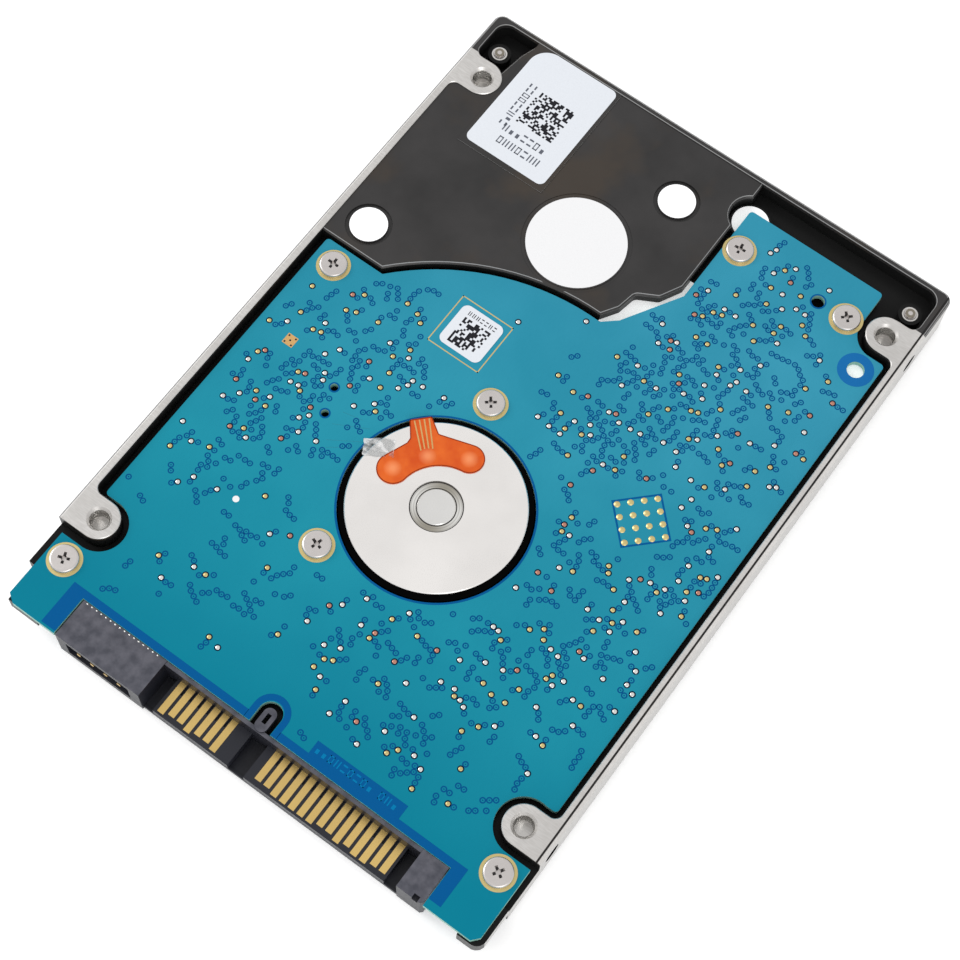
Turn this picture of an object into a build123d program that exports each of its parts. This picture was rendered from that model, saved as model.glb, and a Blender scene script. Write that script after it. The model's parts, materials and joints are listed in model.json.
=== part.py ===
from build123d import *
import math
import os

# A 2.5-inch hard disk drive that lies on its cover, circuit board side up.
# Origin: middle of the footprint, on the cover's outer face. +Z points out of the mounting face,
# +Y away from the plug. All values are millimetres and degrees.

# ---- form factor ----
width, length, height = 69.85, 100.2, 7.0
half_w, half_l = width / 2, length / 2
corner_r = 1.3
hole_x = 61.72 / 2  # mounting holes, half spacing across the drive
hole_ys = (-half_l + 14.0, -half_l + 90.6)
hole_r, hole_depth = 1.25, 3.0
side_hole_depth = 2.5
side_hole_zs = {-1: height - 3.0, 1: height - 3.002}  # left and right kept off one common line

# ---- main levels ----
cover_t = 0.5
ceiling_z = 3.75  # roof of the disk chamber
floor_z = 4.4  # floor of the board bay
board_z, board_t = 5.4, 0.8
board_top = board_z + board_t
bay_top = 6.8  # raised bay over the voice coil motor
ledge_t = 0.1  # embossed ledge under the serial label
motor_bay_top = 5.9  # roof inside the raised bay
corner_boss_top = 5.8
foot_z = 2.9  # underside of the feet beside the plug
front_wall_y = -44.55

# ---- spindle ----
spindle = (0.0, -11.0)
well_r, tower_r = 10.9, 11.7
shaft_r, sleeve_r, running = 1.5, 3.3, 0.02
platter_r, platter_bore = 32.5, 10.0
platter_z, platter_t = 1.7, 0.8
chamber_r = 32.85

# ---- actuator ----
pivot = (-7.2, 28.1)
park = -25.5  # direction of the arms when parked
coil_dir = 154.0  # direction of the coil when parked
slider_reach = 34.3
arm_zs, arm_t = (0.75, 2.95), 0.5
magnet_span = (92.0, 181.0)
bearing_r = 3.0

# ---- circuit board ----
window_r = 11.9
board_screws = [(-29.7, 7.5), (-2.85, 3.9), (-8.5, -23.2), (-31.05, -42.3), (31.6, -42.0), (9.7, 39.8),
                (25.6, 39.8)]
tooling_hole = (30.3, 34.6)
board_cut_y = -44.7  # edge of the cut-out for the plug

# ---- cover screws: place and length under the head ----
corner_screws = [(-31.6, 45.4), (31.6, 45.4)]
edge_screws = [(-31.3, 12.0), (31.6, 22.0), (-31.3, -41.5), (31.3, -41.5)]

# ---- plug ----
contact_pitch, contact_w, contact_t = 1.27, 0.85, 0.12
signal_x, power_x = -11.03, 2.94
contact_z = 3.5
plug_front, plug_back = -50.0, -44.75
tongue_t = 1.23
jumper_xs = [-22.95, -20.95, -18.95, -16.95]
jumper_z, jumper_w = 3.6, 0.5

# ---- seals ----
seal_t = 0.08
port_seals_at = [(-29.5, 14.5), (-0.46, 40.6)]
low_seal_at, low_seal_z = (8.4, 44.5), 5.2

os.makedirs("parts", exist_ok=True)


def polar(centre, reach, angle):
    """Point at a reach and an angle from a centre."""
    turn = math.radians(angle)
    return (centre[0] + reach * math.cos(turn), centre[1] + reach * math.sin(turn))


def disc(centre, radius):
    """Filled circle as a sketch."""
    with BuildSketch() as face:
        with Locations(centre):
            Circle(radius)
    return face.sketch


def ring(centre, inner, outer):
    """Flat ring as a sketch."""
    with BuildSketch() as face:
        with Locations(centre):
            Circle(outer)
            Circle(inner, mode=Mode.SUBTRACT)
    return face.sketch


def sector(centre, inner, outer, start, end):
    """Ring sector between two angles as a sketch."""
    with BuildSketch() as face:
        with BuildLine():
            far = CenterArc(centre, outer, start, end - start)
            near = CenterArc(centre, inner, start, end - start)
            Line(far @ 0, near @ 0)
            Line(far @ 1, near @ 1)
        make_face()
    return face.sketch


def plate(x0, x1, y0, y1, radius=0):
    """Upright rectangle between two corners as a sketch, with round corners if asked."""
    with BuildSketch() as face:
        with Locations(((x0 + x1) / 2, (y0 + y1) / 2)):
            if radius:
                RectangleRounded(x1 - x0, y1 - y0, radius)
            else:
                Rectangle(x1 - x0, y1 - y0)
    return face.sketch


def slab(sketch, z0, z1):
    """Add a sketch, raised between two heights, to the part being built."""
    extrude(Plane.XY.offset(z0) * sketch, amount=z1 - z0)


def cut(sketch, z0, z1):
    """Cut a sketch, between two heights, out of the part being built."""
    extrude(Plane.XY.offset(z0) * sketch, amount=z1 - z0, mode=Mode.SUBTRACT)


def bar(start, end, w0, w1):
    """Tapered strip from one point to another, as a sketch."""
    run = math.hypot(end[0] - start[0], end[1] - start[1])
    across = ((start[1] - end[1]) / run, (end[0] - start[0]) / run)

    def side(point, half):
        return (point[0] + across[0] * half, point[1] + across[1] * half)

    with BuildSketch() as face:
        with BuildLine():
            Polyline(side(start, w0), side(end, w1), side(end, -w1), side(start, -w0), close=True)
        make_face()
    return face.sketch


# ======== outlines shared by several pieces ========

# the circuit board, without its window and holes
with BuildSketch() as board_outline:
    with BuildLine():
        shoulder_y, arc_r, arc_stop = 10.2, 32.1, 87.6
        shoulder_turn = 180 - math.degrees(math.asin((shoulder_y - spindle[1]) / arc_r))
        Line((-32.65, shoulder_y), polar(spindle, arc_r, shoulder_turn))
        CenterArc(spindle, arc_r, shoulder_turn, arc_stop - shoulder_turn)
        Polyline(polar(spindle, arc_r, arc_stop), (3.2, 22.7), (7.7, 30.3), (7.7, 45.5), (27.5, 45.5),
                 (27.5, 40.75))
        ThreePointArc((27.5, 40.75), (28.4, 38.1), (30.3, 37.15))
        Polyline((30.3, 37.15), (32.92, 37.15), (32.92, -32.6), (31.6, -32.6))
        ThreePointArc((31.6, -32.6), (27.35, -36.1), (31.1, -39.6))
        Polyline((31.1, -39.6), (34.3, -39.6), (34.3, -49.0), (33.5, -49.9), (27.0, -49.9),
                 (27.0, board_cut_y), (1.4, board_cut_y), (1.4, -42.6))
        ThreePointArc((1.4, -42.6), (-0.1, -41.2), (-1.6, -42.6))
        Polyline((-1.6, -42.6), (-1.6, board_cut_y), (-26.2, board_cut_y), (-26.2, -50.0),
                 (-32.4, -50.0), (-33.5, -49.2), (-33.5, -39.85), (-30.9, -39.85))
        ThreePointArc((-30.9, -39.85), (-27.15, -36.3), (-30.9, -33.0))
        Polyline((-30.9, -33.0), (-32.65, -33.0), (-32.65, shoulder_y))
    make_face()

# the disk chamber with the actuator bay beside it
actuator_bay = [(-27.0, 4.0), (-27.0, 46.6), (27.0, 46.6), (27.0, 17.5), (29.9, 14.5), (29.9, 4.0)]
with BuildSketch() as chamber_outline:
    add(disc(spindle, chamber_r))
    with BuildLine():
        Polyline(*actuator_bay, close=True)
    make_face()

# the deep part of the chamber, under the raised bay
with BuildSketch() as motor_outline:
    add(sector(pivot, 0.5, 18.9, 84, 189))
    add(disc(pivot, 6.4))

# the raised bay, seen from above
with BuildSketch() as raised_outline:
    with BuildLine():
        ridge_end = polar(spindle, 32.7, 138.6)
        Polyline((-half_w, 10.6), ridge_end)
        ridge = CenterArc(spindle, 32.7, 138.6, 88.4 - 138.6)
        nose = ridge @ 1
        Polyline(nose, (2.3, 23.9), (2.8, 26.6), (5.5, 28.1), (7.0, 31.0), (7.0, 42.0))
        ThreePointArc((7.0, 42.0), (5.5, 44.5), (7.0, 47.0))
        Polyline((7.0, 47.0), (7.0, half_l), (-28.0, half_l), (-28.0, 49.1), (-28.9, 46.4),
                 (-29.4, 42.8), (-31.9, 42.4), (-half_w, 42.4), (-half_w, 10.6))
    make_face()
    bends = [(2.3, 23.9), (2.8, 26.6), (5.5, 28.1), (7.0, 31.0)]
    bend_corners = [v for v in raised_outline.vertices()
                    if min(math.dist((v.X, v.Y), bend) for bend in bends) < 0.01]
    fillet(bend_corners, 0.9)

# the strip of casting that shows between the raised bay and the board's slanted edge
with BuildSketch() as strip_outline:
    with BuildLine():
        Polyline((0.9, 21.5), (5.0, 22.6), (9.2, 29.6), (9.2, 33.0), (0.9, 33.0), close=True)
    make_face()
    add(raised_outline.sketch, mode=Mode.SUBTRACT)


# ======== base casting ========

# outer form: rounded block with broken top edges and a groove along the right edge
with BuildPart() as envelope:
    with BuildSketch(Plane.XY.offset(cover_t)):
        RectangleRounded(width, length, corner_r)
    extrude(amount=height - cover_t)
    chamfer(envelope.faces().sort_by(Axis.Z)[-1].edges(), 0.35)
    cut(plate(half_w - 0.65, half_w - 0.4, -half_l, half_l), height - 0.3, height)

# lands that reach the mounting face: rails, pads and the far rim
pad_nose, rail_fillet = 2.55, 1.1
far_rim_y, far_fillet = 49.2, 1.8
rail_inner = {-1: -33.8, 1: 33.65}
with BuildSketch() as lands:
    for side, inner in rail_inner.items():
        add(plate(min(side * half_w, inner), max(side * half_w, inner), hole_ys[0] - pad_nose, half_l))
        for y in hole_ys:
            add(disc((side * hole_x, y), pad_nose))
            add(plate(min(side * half_w, side * hole_x), max(side * half_w, side * hole_x), y - pad_nose,
                      y + pad_nose))
    inner_corners = [v for v in lands.vertices() if min(abs(v.X - x) for x in rail_inner.values()) < 0.01
                     and min(abs(v.Y - y) for y in hole_ys) < pad_nose + 0.01]
    fillet(inner_corners, rail_fillet)
    add(plate(-half_w, half_w, far_rim_y, half_l))
    far_corners = [v for v in lands.vertices() if min(abs(v.X - x) for x in rail_inner.values()) < 0.01
                   and abs(v.Y - far_rim_y) < 0.01]
    fillet(far_corners, far_fillet)

# the lands and the raised bay, each with a broken top edge
with BuildPart() as land_block:
    slab(lands.sketch, floor_z, height)
    chamfer(land_block.faces().sort_by(Axis.Z)[-1].edges(), 0.1)

with BuildPart() as bay_block:
    slab(raised_outline.sketch, floor_z, bay_top)
    chamfer(bay_block.faces().sort_by(Axis.Z)[-1].edges(), 0.25)

with BuildPart() as base_casting:
    slab(plate(-half_w, half_w, front_wall_y, half_l), cover_t, floor_z)
    slab(plate(-33.4, -29.3, -49.8, front_wall_y), foot_z, board_z)  # left foot
    slab(plate(31.8, half_w, -half_l, front_wall_y), foot_z, board_z)  # right foot
    add(land_block.part)
    add(bay_block.part)
    slab(plate(-28.0, -14.9, 31.2, far_rim_y), bay_top, bay_top + ledge_t)
    # standoffs, corner bosses and the tower round the motor
    for place in board_screws:
        slab(disc(place, 2.2), floor_z, board_z)
    for place in corner_screws:
        slab(disc(place, 1.5), floor_z, corner_boss_top)
    slab(disc(spindle, tower_r), floor_z, board_top)
    # plinths that carry two seals just below the board
    slab(strip_outline.sketch, floor_z, low_seal_z)
    slab(disc(low_seal_at, 2.7), floor_z, low_seal_z)
    # keep the board clear of the side walls beside the plug
    cut(board_outline.sketch, board_z, height)
    slab(disc(spindle, tower_r), board_z, board_top)
    add(envelope.part, mode=Mode.INTERSECT)
    # chamber, motor bay and motor well, cut from the cover side
    cut(chamber_outline.sketch, cover_t, ceiling_z)
    cut(offset(chamber_outline.sketch, 0.4), cover_t, cover_t + 0.25)
    cut(motor_outline.sketch, ceiling_z, motor_bay_top)
    cut(disc(spindle, well_r), ceiling_z, height)
    cut(disc(pivot, 4.4), motor_bay_top, bay_top)
    # holes for screws
    for place in board_screws:
        cut(disc(place, 0.75), ceiling_z + 0.35, board_z)
    for place in corner_screws:
        cut(disc(place, 0.8), cover_t, height)
    for place in edge_screws:
        cut(disc(place, 0.8), cover_t, 2.9)
    for place in corner_screws + edge_screws:
        cut(disc(place, 2.5), cover_t, cover_t + 0.45)
    # mounting holes
    for side in (-1, 1):
        for y in hole_ys:
            with Locations(Plane((side * hole_x, y, height))):
                CounterSinkHole(hole_r, hole_r + 0.3, depth=hole_depth)
            with Locations(Plane((side * half_w, y, side_hole_zs[side]), z_dir=(side, 0, 0))):
                Hole(hole_r, depth=side_hole_depth)
    # ports under the small seals, and the grooves round the seals
    for place in port_seals_at:
        cut(ring(place, 2.5, 3.0), bay_top - 0.3, bay_top + 0.2)
        cut(disc(place, 1.1), bay_top - 1.2, bay_top + 0.2)
    cut(disc(low_seal_at, 1.1), ceiling_z, low_seal_z)
    cut(ring(pivot, 6.6, 7.05), bay_top - 0.08, bay_top)
    # slot for the plug of the head flex
    cut(plate(12.0, 24.0, 35.6, 38.4), ceiling_z, floor_z)
base_casting.part.label = "base_casting"
export_step(base_casting.part, "parts/base_casting.step")


# ======== cover, its screws, gasket and labels ========

cover_screws_at = corner_screws + edge_screws
with BuildPart() as top_cover:
    slab(plate(-34.6, 34.6, front_wall_y, 49.8, 1.2), 0, cover_t)
    cut(plate(-26.5, 26.5, -36.5, 30.0, 2.0), 0, 0.15)  # label recess
    cut(ring(spindle, 29.2, 30.2), 0, 0.12)  # stiffening bead
    for place in cover_screws_at:
        slab(disc(place, 2.4), cover_t, cover_t + 0.4)
        cut(disc(place, 1.75), 0, cover_t)
        cut(disc(place, 0.85), 0, cover_t + 0.4)
    cut(disc(pivot, 1.75), 0, 0.3)
    cut(disc(pivot, 0.75), 0, cover_t)
    cut(disc((-20.0, 17.5), 0.5), 0, cover_t)  # breather hole
top_cover.part.label = "top_cover"
export_step(top_cover.part, "parts/top_cover.step")

with BuildPart() as cover_gasket:
    slab(offset(chamber_outline.sketch, 0.38), cover_t, cover_t + 0.24)
    cut(offset(chamber_outline.sketch, 0.02), cover_t, cover_t + 0.24)
cover_gasket.part.label = "cover_gasket"
export_step(cover_gasket.part, "parts/cover_gasket.step")


def star_screw(place, head_z, head_r, head_t, shank_r, tip_z):
    """Upside-down screw: low head with a six-point socket, shank going up."""
    with BuildPart() as screw:
        slab(disc(place, head_r), head_z, head_z + head_t)
        chamfer(screw.faces().sort_by(Axis.Z)[0].edges(), 0.08)
        slab(disc(place, shank_r), head_z + head_t, tip_z - 0.2)
        slab(disc(place, shank_r - 0.2), tip_z - 0.2, tip_z)
        for turn in (0, 60, 120):
            point = polar(place, head_r * 0.5, turn)
            back = polar(place, -head_r * 0.5, turn)
            cut(bar(point, back, 0.16, 0.16), head_z, head_z + head_t * 0.6)
    return screw.part


with BuildPart() as cover_screws:
    for place in corner_screws:
        add(star_screw(place, 0.08, 1.6, 0.42, 0.75, corner_boss_top + 0.3))
    for place in edge_screws:
        add(star_screw(place, 0.08, 1.6, 0.42, 0.75, 2.8))
cover_screws.part.label = "cover_screws"
export_step(cover_screws.part, "parts/cover_screws.step")

with BuildPart() as pivot_screw:
    add(star_screw(pivot, 0.04, 1.6, 0.26, 0.7, 2.4))
pivot_screw.part.label = "pivot_screw"
export_step(pivot_screw.part, "parts/pivot_screw.step")

with BuildPart() as cover_label:
    slab(plate(-26.0, 26.0, -36.0, 29.5, 1.8), 0.05, 0.15)
    cut(disc(pivot, 2.2), 0, 0.2)
    cut(disc((-20.0, 17.5), 1.2), 0, 0.2)
cover_label.part.label = "cover_label"
export_step(cover_label.part, "parts/cover_label.step")


# ======== circuit board ========

with BuildPart() as circuit_board:
    slab(board_outline.sketch, board_z, board_top)
    sharp = circuit_board.edges().filter_by(Axis.Z).filter_by(
        lambda e: any(math.dist((e.center().X, e.center().Y), spot) < 0.05 for spot in (
            (-32.65, 10.2), (7.7, 45.5), (27.5, 45.5), (32.92, 37.15), (32.92, -32.6), (-32.65, -33.0))))
    fillet(sharp, 0.5)
    cut(disc(spindle, window_r), board_z, board_top)
    for place in board_screws:
        cut(disc(place, 0.95), board_z, board_top)
    holes = {tooling_hole: 1.1, (21.5, 39.75): 0.85, (-19.4, -5.7): 0.5, (-18.2, -9.1): 0.5}
    for place, radius in holes.items():
        cut(disc(place, radius), board_z, board_top)
circuit_board.part.label = "circuit_board"
export_step(circuit_board.part, "parts/circuit_board.step")


def cross_screw(place, turn, head_z, tip_z):
    """Pan head screw, head up, its cross recess turned to an angle."""
    head_r, head_t, slot, reach, slot_depth = 1.8, 0.6, 0.18, 0.75, 0.4
    top = head_z + head_t
    with BuildPart() as screw:
        slab(disc(place, head_r), head_z, head_z + head_t)
        fillet(screw.faces().sort_by(Axis.Z)[-1].edges(), 0.3)
        slab(disc(place, 0.7), tip_z, head_z)
        for angle in (turn, turn + 90):
            point, back = polar(place, reach, angle), polar(place, -reach, angle)
            cut(bar(point, back, slot, slot), top - slot_depth, top)
        cut(disc(place, 2 * slot), top - slot_depth, top)
    return screw.part


with BuildPart() as board_screws_group:
    for i, place in enumerate(board_screws):
        add(cross_screw(place, 37 * i, board_top, ceiling_z + 0.45))
board_screws_group.part.label = "board_screws"
export_step(board_screws_group.part, "parts/board_screws.step")

with BuildPart() as insulator:
    film_z, film_t = floor_z + 0.02, 0.1
    slab(plate(-27.0, -13.0, -32.0, -15.0, 1.0), film_z, film_z + film_t)
    slab(plate(13.5, 31.0, -31.5, 33.0, 1.0), film_z, film_z + film_t)
insulator.part.label = "insulator"
export_step(insulator.part, "parts/insulator.step")


def chip(x, y, w, l, t):
    """Add a flat package that hangs under the board."""
    slab(plate(x - w / 2, x + w / 2, y - l / 2, y + l / 2), board_z - t, board_z)


with BuildPart() as controller_chip:
    chip(22.0, 2.0, 12.0, 12.0, 0.75)
controller_chip.part.label = "controller_chip"
export_step(controller_chip.part, "parts/controller_chip.step")

with BuildPart() as memory_chip:
    chip(24.0, 21.0, 8.0, 13.0, 0.72)
memory_chip.part.label = "memory_chip"
export_step(memory_chip.part, "parts/memory_chip.step")

with BuildPart() as motor_driver_chip:
    chip(-20.5, -24.0, 8.0, 8.0, 0.75)
motor_driver_chip.part.label = "motor_driver_chip"
export_step(motor_driver_chip.part, "parts/motor_driver_chip.step")

with BuildPart() as flash_chip:
    chip(19.0, -20.5, 5.0, 6.0, 0.7)
flash_chip.part.label = "flash_chip"
export_step(flash_chip.part, "parts/flash_chip.step")

with BuildPart() as board_passives:
    for x, y in [(17.5, -12.0), (19.5, -12.0), (21.5, -12.0), (27.5, -10.0), (29.3, -10.0), (-20.0, -3.0),
                 (-18.0, -3.0), (-24.0, -14.0), (16.5, 12.0), (16.5, 14.0), (28.8, 12.0), (10.0, 34.0)]:
        chip(x, y, 1.0, 0.5, 0.5)
    chip(-25.0, -36.0, 3.2, 2.5, 0.7)  # clock crystal
    chip(-12.0, -38.0, 6.0, 3.2, 0.85)  # supply inductor
    chip(18.0, -38.5, 7.3, 4.3, 0.9)  # supply capacitor
    chip(27.5, -27.0, 2.0, 2.0, 0.7)  # shock sensor
board_passives.part.label = "board_passives"
export_step(board_passives.part, "parts/board_passives.step")


# ======== seals and labels on the board side ========

with BuildPart() as serial_label:
    label_z, label_t, big_r = bay_top + ledge_t, 0.06, 2.7
    label_left, label_far = -27.5, 49.1
    turn_at = (label_left + big_r, label_far - big_r)
    slab(plate(label_left, -15.35, 31.95, label_far, 0.9), label_z, label_z + label_t)
    cut(plate(label_left, turn_at[0], turn_at[1], label_far), label_z, label_z + label_t)
    slab(sector(turn_at, 0.01, big_r, 90, 180), label_z, label_z + label_t)
serial_label.part.label = "serial_label"
export_step(serial_label.part, "parts/serial_label.step")

with BuildPart() as pivot_seal:
    slab(disc(pivot, 6.42), bay_top, bay_top + seal_t)
pivot_seal.part.label = "pivot_seal"
export_step(pivot_seal.part, "parts/pivot_seal.step")

with BuildPart() as port_seals:
    for place in port_seals_at:
        slab(disc(place, 2.42), bay_top, bay_top + seal_t)
    slab(disc(low_seal_at, 2.4), low_seal_z, low_seal_z + seal_t)
port_seals.part.label = "port_seals"
export_step(port_seals.part, "parts/port_seals.step")


# foil on the strip beside the board's slanted edge
with BuildPart() as connector_seal:
    slab(strip_outline.sketch, low_seal_z, low_seal_z + seal_t)
connector_seal.part.label = "connector_seal"
export_step(connector_seal.part, "parts/connector_seal.step")

with BuildPart() as board_label:
    slab(plate(-13.4, -7.3, 7.1, 13.2, 0.9), board_top, board_top + 0.06)
board_label.part.label = "board_label"
export_step(board_label.part, "parts/board_label.step")


# ======== plug ========

signal_xs = [signal_x + contact_pitch * i for i in range(7)]
power_xs = [power_x + contact_pitch * i for i in range(15)]
long_signals = (0, 3, 6)
long_powers = (2, 3, 4, 5, 6, 9, 11, 12)
wall_t = 0.5
wall_front = plug_back - wall_t
lead_y = plug_back + 0.13


def contact(x, tip_y):
    """Add one contact: blade on the tongue, riser behind the wall, foot under the board."""
    x0, x1 = x - contact_w / 2, x + contact_w / 2
    slab(plate(x0, x1, tip_y, lead_y), contact_z - contact_t, contact_z + 0.01)
    slab(plate(x0 + 0.15, x1 - 0.15, plug_back, lead_y), contact_z - contact_t, board_z)
    slab(plate(x0 + 0.15, x1 - 0.15, plug_back, lead_y + 1.3), board_z - contact_t, board_z)


with BuildPart() as signal_contacts:
    for i, x in enumerate(signal_xs):
        contact(x, plug_front + (0.4 if i in long_signals else 0.8))
signal_contacts.part.label = "signal_contacts"
export_step(signal_contacts.part, "parts/signal_contacts.step")

with BuildPart() as power_contacts:
    for i, x in enumerate(power_xs):
        contact(x, plug_front + (0.4 if i in long_powers else 0.8))
power_contacts.part.label = "power_contacts"
export_step(power_contacts.part, "parts/power_contacts.step")

with BuildPart() as jumper_pins:
    for x in jumper_xs:
        half = jumper_w / 2
        slab(plate(x - half, x + half, plug_front + 0.1, plug_back - 0.15), jumper_z - half, jumper_z + half)
        slab(plate(x - half, x + half, plug_back - 0.65, plug_back - 0.15), jumper_z - half, board_z)
        slab(plate(x - half, x + half, plug_back - 0.65, lead_y + 1.3), board_z - 0.2, board_z)
jumper_pins.part.label = "jumper_pins"
export_step(jumper_pins.part, "parts/jumper_pins.step")

plug_low, plug_top = 0.9, 6.1
block_x, arm_x = (-26.0, -13.6), (23.3, 26.85)
tongue_x, key_x = (-11.9, 21.5), (-0.95, 1.4)
with BuildPart() as connector_housing:
    slab(plate(*block_x, plug_front, plug_back), plug_low, plug_top)
    slab(plate(*arm_x, plug_front + 0.1, plug_back), plug_low, plug_top)
    slab(plate(block_x[1], arm_x[0], plug_front + 0.2, plug_back), plug_low, plug_low + 0.45)
    slab(plate(block_x[1], arm_x[0], wall_front, plug_back), plug_low, plug_top - 0.1)
    slab(plate(*tongue_x, plug_front + 0.1, plug_back), contact_z - tongue_t, contact_z)
    slab(plate(block_x[1], arm_x[0], plug_front + 0.2, plug_front + 0.5), plug_low + 0.45, plug_low + 0.65)
    cut(plate(*key_x, plug_front, wall_front), contact_z - tongue_t, contact_z)
    # the arm's lead-in and tip notch, and the pocket round the jumper pins
    chamfer(connector_housing.edges().filter_by(Axis.Z).group_by(Axis.X)[-1].sort_by(Axis.Y)[0], 0.3)
    cut(plate(arm_x[1] - 1.4, arm_x[1] - 0.6, plug_front + 0.1, plug_front + 0.7), plug_top - 0.8, plug_top)
    cut(plate(-24.6, -15.3, plug_front, plug_front + 3.6), 2.0, 5.2)
    # slots between neighbouring contacts
    for xs in (signal_xs, power_xs):
        for x in xs[:-1]:
            gap = (x + contact_pitch / 2 - 0.12, x + contact_pitch / 2 + 0.12)
            cut(plate(*gap, wall_front - 1.3, wall_front), contact_z - 0.3, contact_z)
    # retaining post in the board's notch
    slab(plate(-0.9, 0.75, plug_back - 0.4, plug_back + 2.75, 0.8), board_z, board_top + 0.1)
    cut(plate(-0.35, 0.2, plug_back + 0.7, plug_back + 2.0), board_z, board_top + 0.1)
    for pins in (signal_contacts, power_contacts, jumper_pins):
        add(pins.part, mode=Mode.SUBTRACT)
connector_housing.part.label = "connector_housing"
export_step(connector_housing.part, "parts/connector_housing.step")


# ======== spindle motor ========

bracket_z, bracket_top, boss_r = 5.8, 6.8, 3.9
with BuildPart() as motor_bracket:
    slab(disc(spindle, 11.0), board_top, bracket_top)
    chamfer(motor_bracket.faces().sort_by(Axis.Z)[-1].edges(), 0.12)
    slab(disc(spindle, well_r), bracket_z, board_top)
    slab(disc(spindle, boss_r), 4.0, bracket_z)
    cut(disc(spindle, sleeve_r), 4.0, bracket_top)
motor_bracket.part.label = "motor_bracket"
export_step(motor_bracket.part, "parts/motor_bracket.step")

sleeve_top = 6.6
with BuildPart() as bearing_sleeve:
    slab(disc(spindle, sleeve_r), 3.1, sleeve_top)
    cut(disc(spindle, shaft_r + running), 3.1, sleeve_top)
    cut(disc(spindle, 2.35), 6.2, sleeve_top)
bearing_sleeve.part.label = "bearing_sleeve"
export_step(bearing_sleeve.part, "parts/bearing_sleeve.step")

with BuildPart() as bearing_cap:
    slab(disc(spindle, 2.33), 6.22, 6.76)
    chamfer(bearing_cap.faces().sort_by(Axis.Z)[-1].edges(), 0.1)
bearing_cap.part.label = "bearing_cap"
export_step(bearing_cap.part, "parts/bearing_cap.step")

stator_z, stator_top, tooth_tip = 4.3, 5.3, 9.05
teeth = 9
with BuildPart() as stator_core:
    slab(ring(spindle, boss_r, 4.9), stator_z, stator_top)
    for i in range(teeth):
        turn = 360 / teeth * i
        slab(bar(polar(spindle, 4.5, turn), polar(spindle, 8.5, turn), 0.5, 0.5), stator_z, stator_top)
        slab(sector(spindle, 8.3, tooth_tip, turn - 16, turn + 16), stator_z, stator_top)
stator_core.part.label = "stator_core"
export_step(stator_core.part, "parts/stator_core.step")

with BuildPart() as stator_coils:
    for i in range(teeth):
        turn = 360 / teeth * i
        winding = bar(polar(spindle, 5.3, turn), polar(spindle, 8.1, turn), 0.85, 1.3)
        slab(winding, stator_z - 0.4, stator_top + 0.4)
        cut(bar(polar(spindle, 5.2, turn), polar(spindle, 8.2, turn), 0.5, 0.5), stator_z, stator_top)
stator_coils.part.label = "stator_coils"
export_step(stator_coils.part, "parts/stator_coils.step")

# the flex lies on the bracket: two round lobes and a neck that runs over the edge
flex_t = 0.1
with BuildPart() as motor_flex:
    with BuildSketch(Plane((*spindle, bracket_top))):
        with BuildLine():
            Polyline((-7.4, 9.05), (-5.35, 7.7), (-1.1, 9.05))
            ThreePointArc((-1.1, 9.05), (1.4, 7.3), (-0.2, 5.45))
            ThreePointArc((-0.2, 5.45), (-3.8, 3.5), (-5.1, 0.4))
            ThreePointArc((-5.1, 0.4), (-7.1, -1.2), (-9.05, 1.3))
            Polyline((-9.05, 1.3), (-7.75, 4.5), (-7.8, 5.2), (-9.3, 7.1), (-7.4, 9.05))
        make_face()
    extrude(amount=flex_t)
    fillet(motor_flex.edges().filter_by(Axis.Z).sort_by(lambda e: math.dist(
        (e.center().X, e.center().Y), spindle))[:-2], 0.3)
motor_flex.part.label = "motor_flex"
export_step(motor_flex.part, "parts/motor_flex.step")

hub_z = 0.9
with BuildPart() as spindle_hub:
    slab(disc(spindle, 3.0), hub_z, 1.5)
    slab(disc(spindle, platter_bore - running), 1.5, platter_z + platter_t)
    slab(disc(spindle, 12.2), platter_z + platter_t, 3.05)
    slab(ring(spindle, 9.9, 10.55), 3.05, 5.6)
    cut(disc(spindle, 9.3), 2.9, 5.6)
    cut(disc(spindle, shaft_r), hub_z, 5.6)
    for i in range(3):
        cut(disc(polar(spindle, 6.5, 120 * i + 30), 0.6), 1.5, 2.5)
spindle_hub.part.label = "spindle_hub"
export_step(spindle_hub.part, "parts/spindle_hub.step")

with BuildPart() as spindle_shaft:
    slab(disc(spindle, shaft_r), hub_z, 6.1)
spindle_shaft.part.label = "spindle_shaft"
export_step(spindle_shaft.part, "parts/spindle_shaft.step")

with BuildPart() as rotor_magnet:
    slab(ring(spindle, 9.3, 9.9), 3.4, 5.4)
rotor_magnet.part.label = "rotor_magnet"
export_step(rotor_magnet.part, "parts/rotor_magnet.step")

with BuildPart() as platter:
    slab(ring(spindle, platter_bore, platter_r), platter_z, platter_z + platter_t)
    chamfer(platter.edges().filter_by(GeomType.CIRCLE).group_by(SortBy.RADIUS)[-1], 0.1)
platter.part.label = "platter"
export_step(platter.part, "parts/platter.step")

with BuildPart() as disk_clamp:
    slab(ring(spindle, 3.05, 12.1), hub_z, 1.5)
    slab(ring(spindle, 10.6, 12.1), 1.5, platter_z)
    for i in range(3):
        cut(disc(polar(spindle, 6.5, 120 * i + 30), 1.3), hub_z, 1.2)
        cut(disc(polar(spindle, 6.5, 120 * i + 30), 0.65), hub_z, 1.5)
disk_clamp.part.label = "disk_clamp"
export_step(disk_clamp.part, "parts/disk_clamp.step")

with BuildPart() as clamp_screws:
    for i in range(3):
        place = polar(spindle, 6.5, 120 * i + 30)
        slab(disc(place, 1.2), 0.85, 1.2)
        slab(disc(place, 0.6), 1.2, 2.45)
        cut(disc(place, 0.5), 0.85, 1.05)
clamp_screws.part.label = "clamp_screws"
export_step(clamp_screws.part, "parts/clamp_screws.step")


# ======== actuator ========

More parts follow.
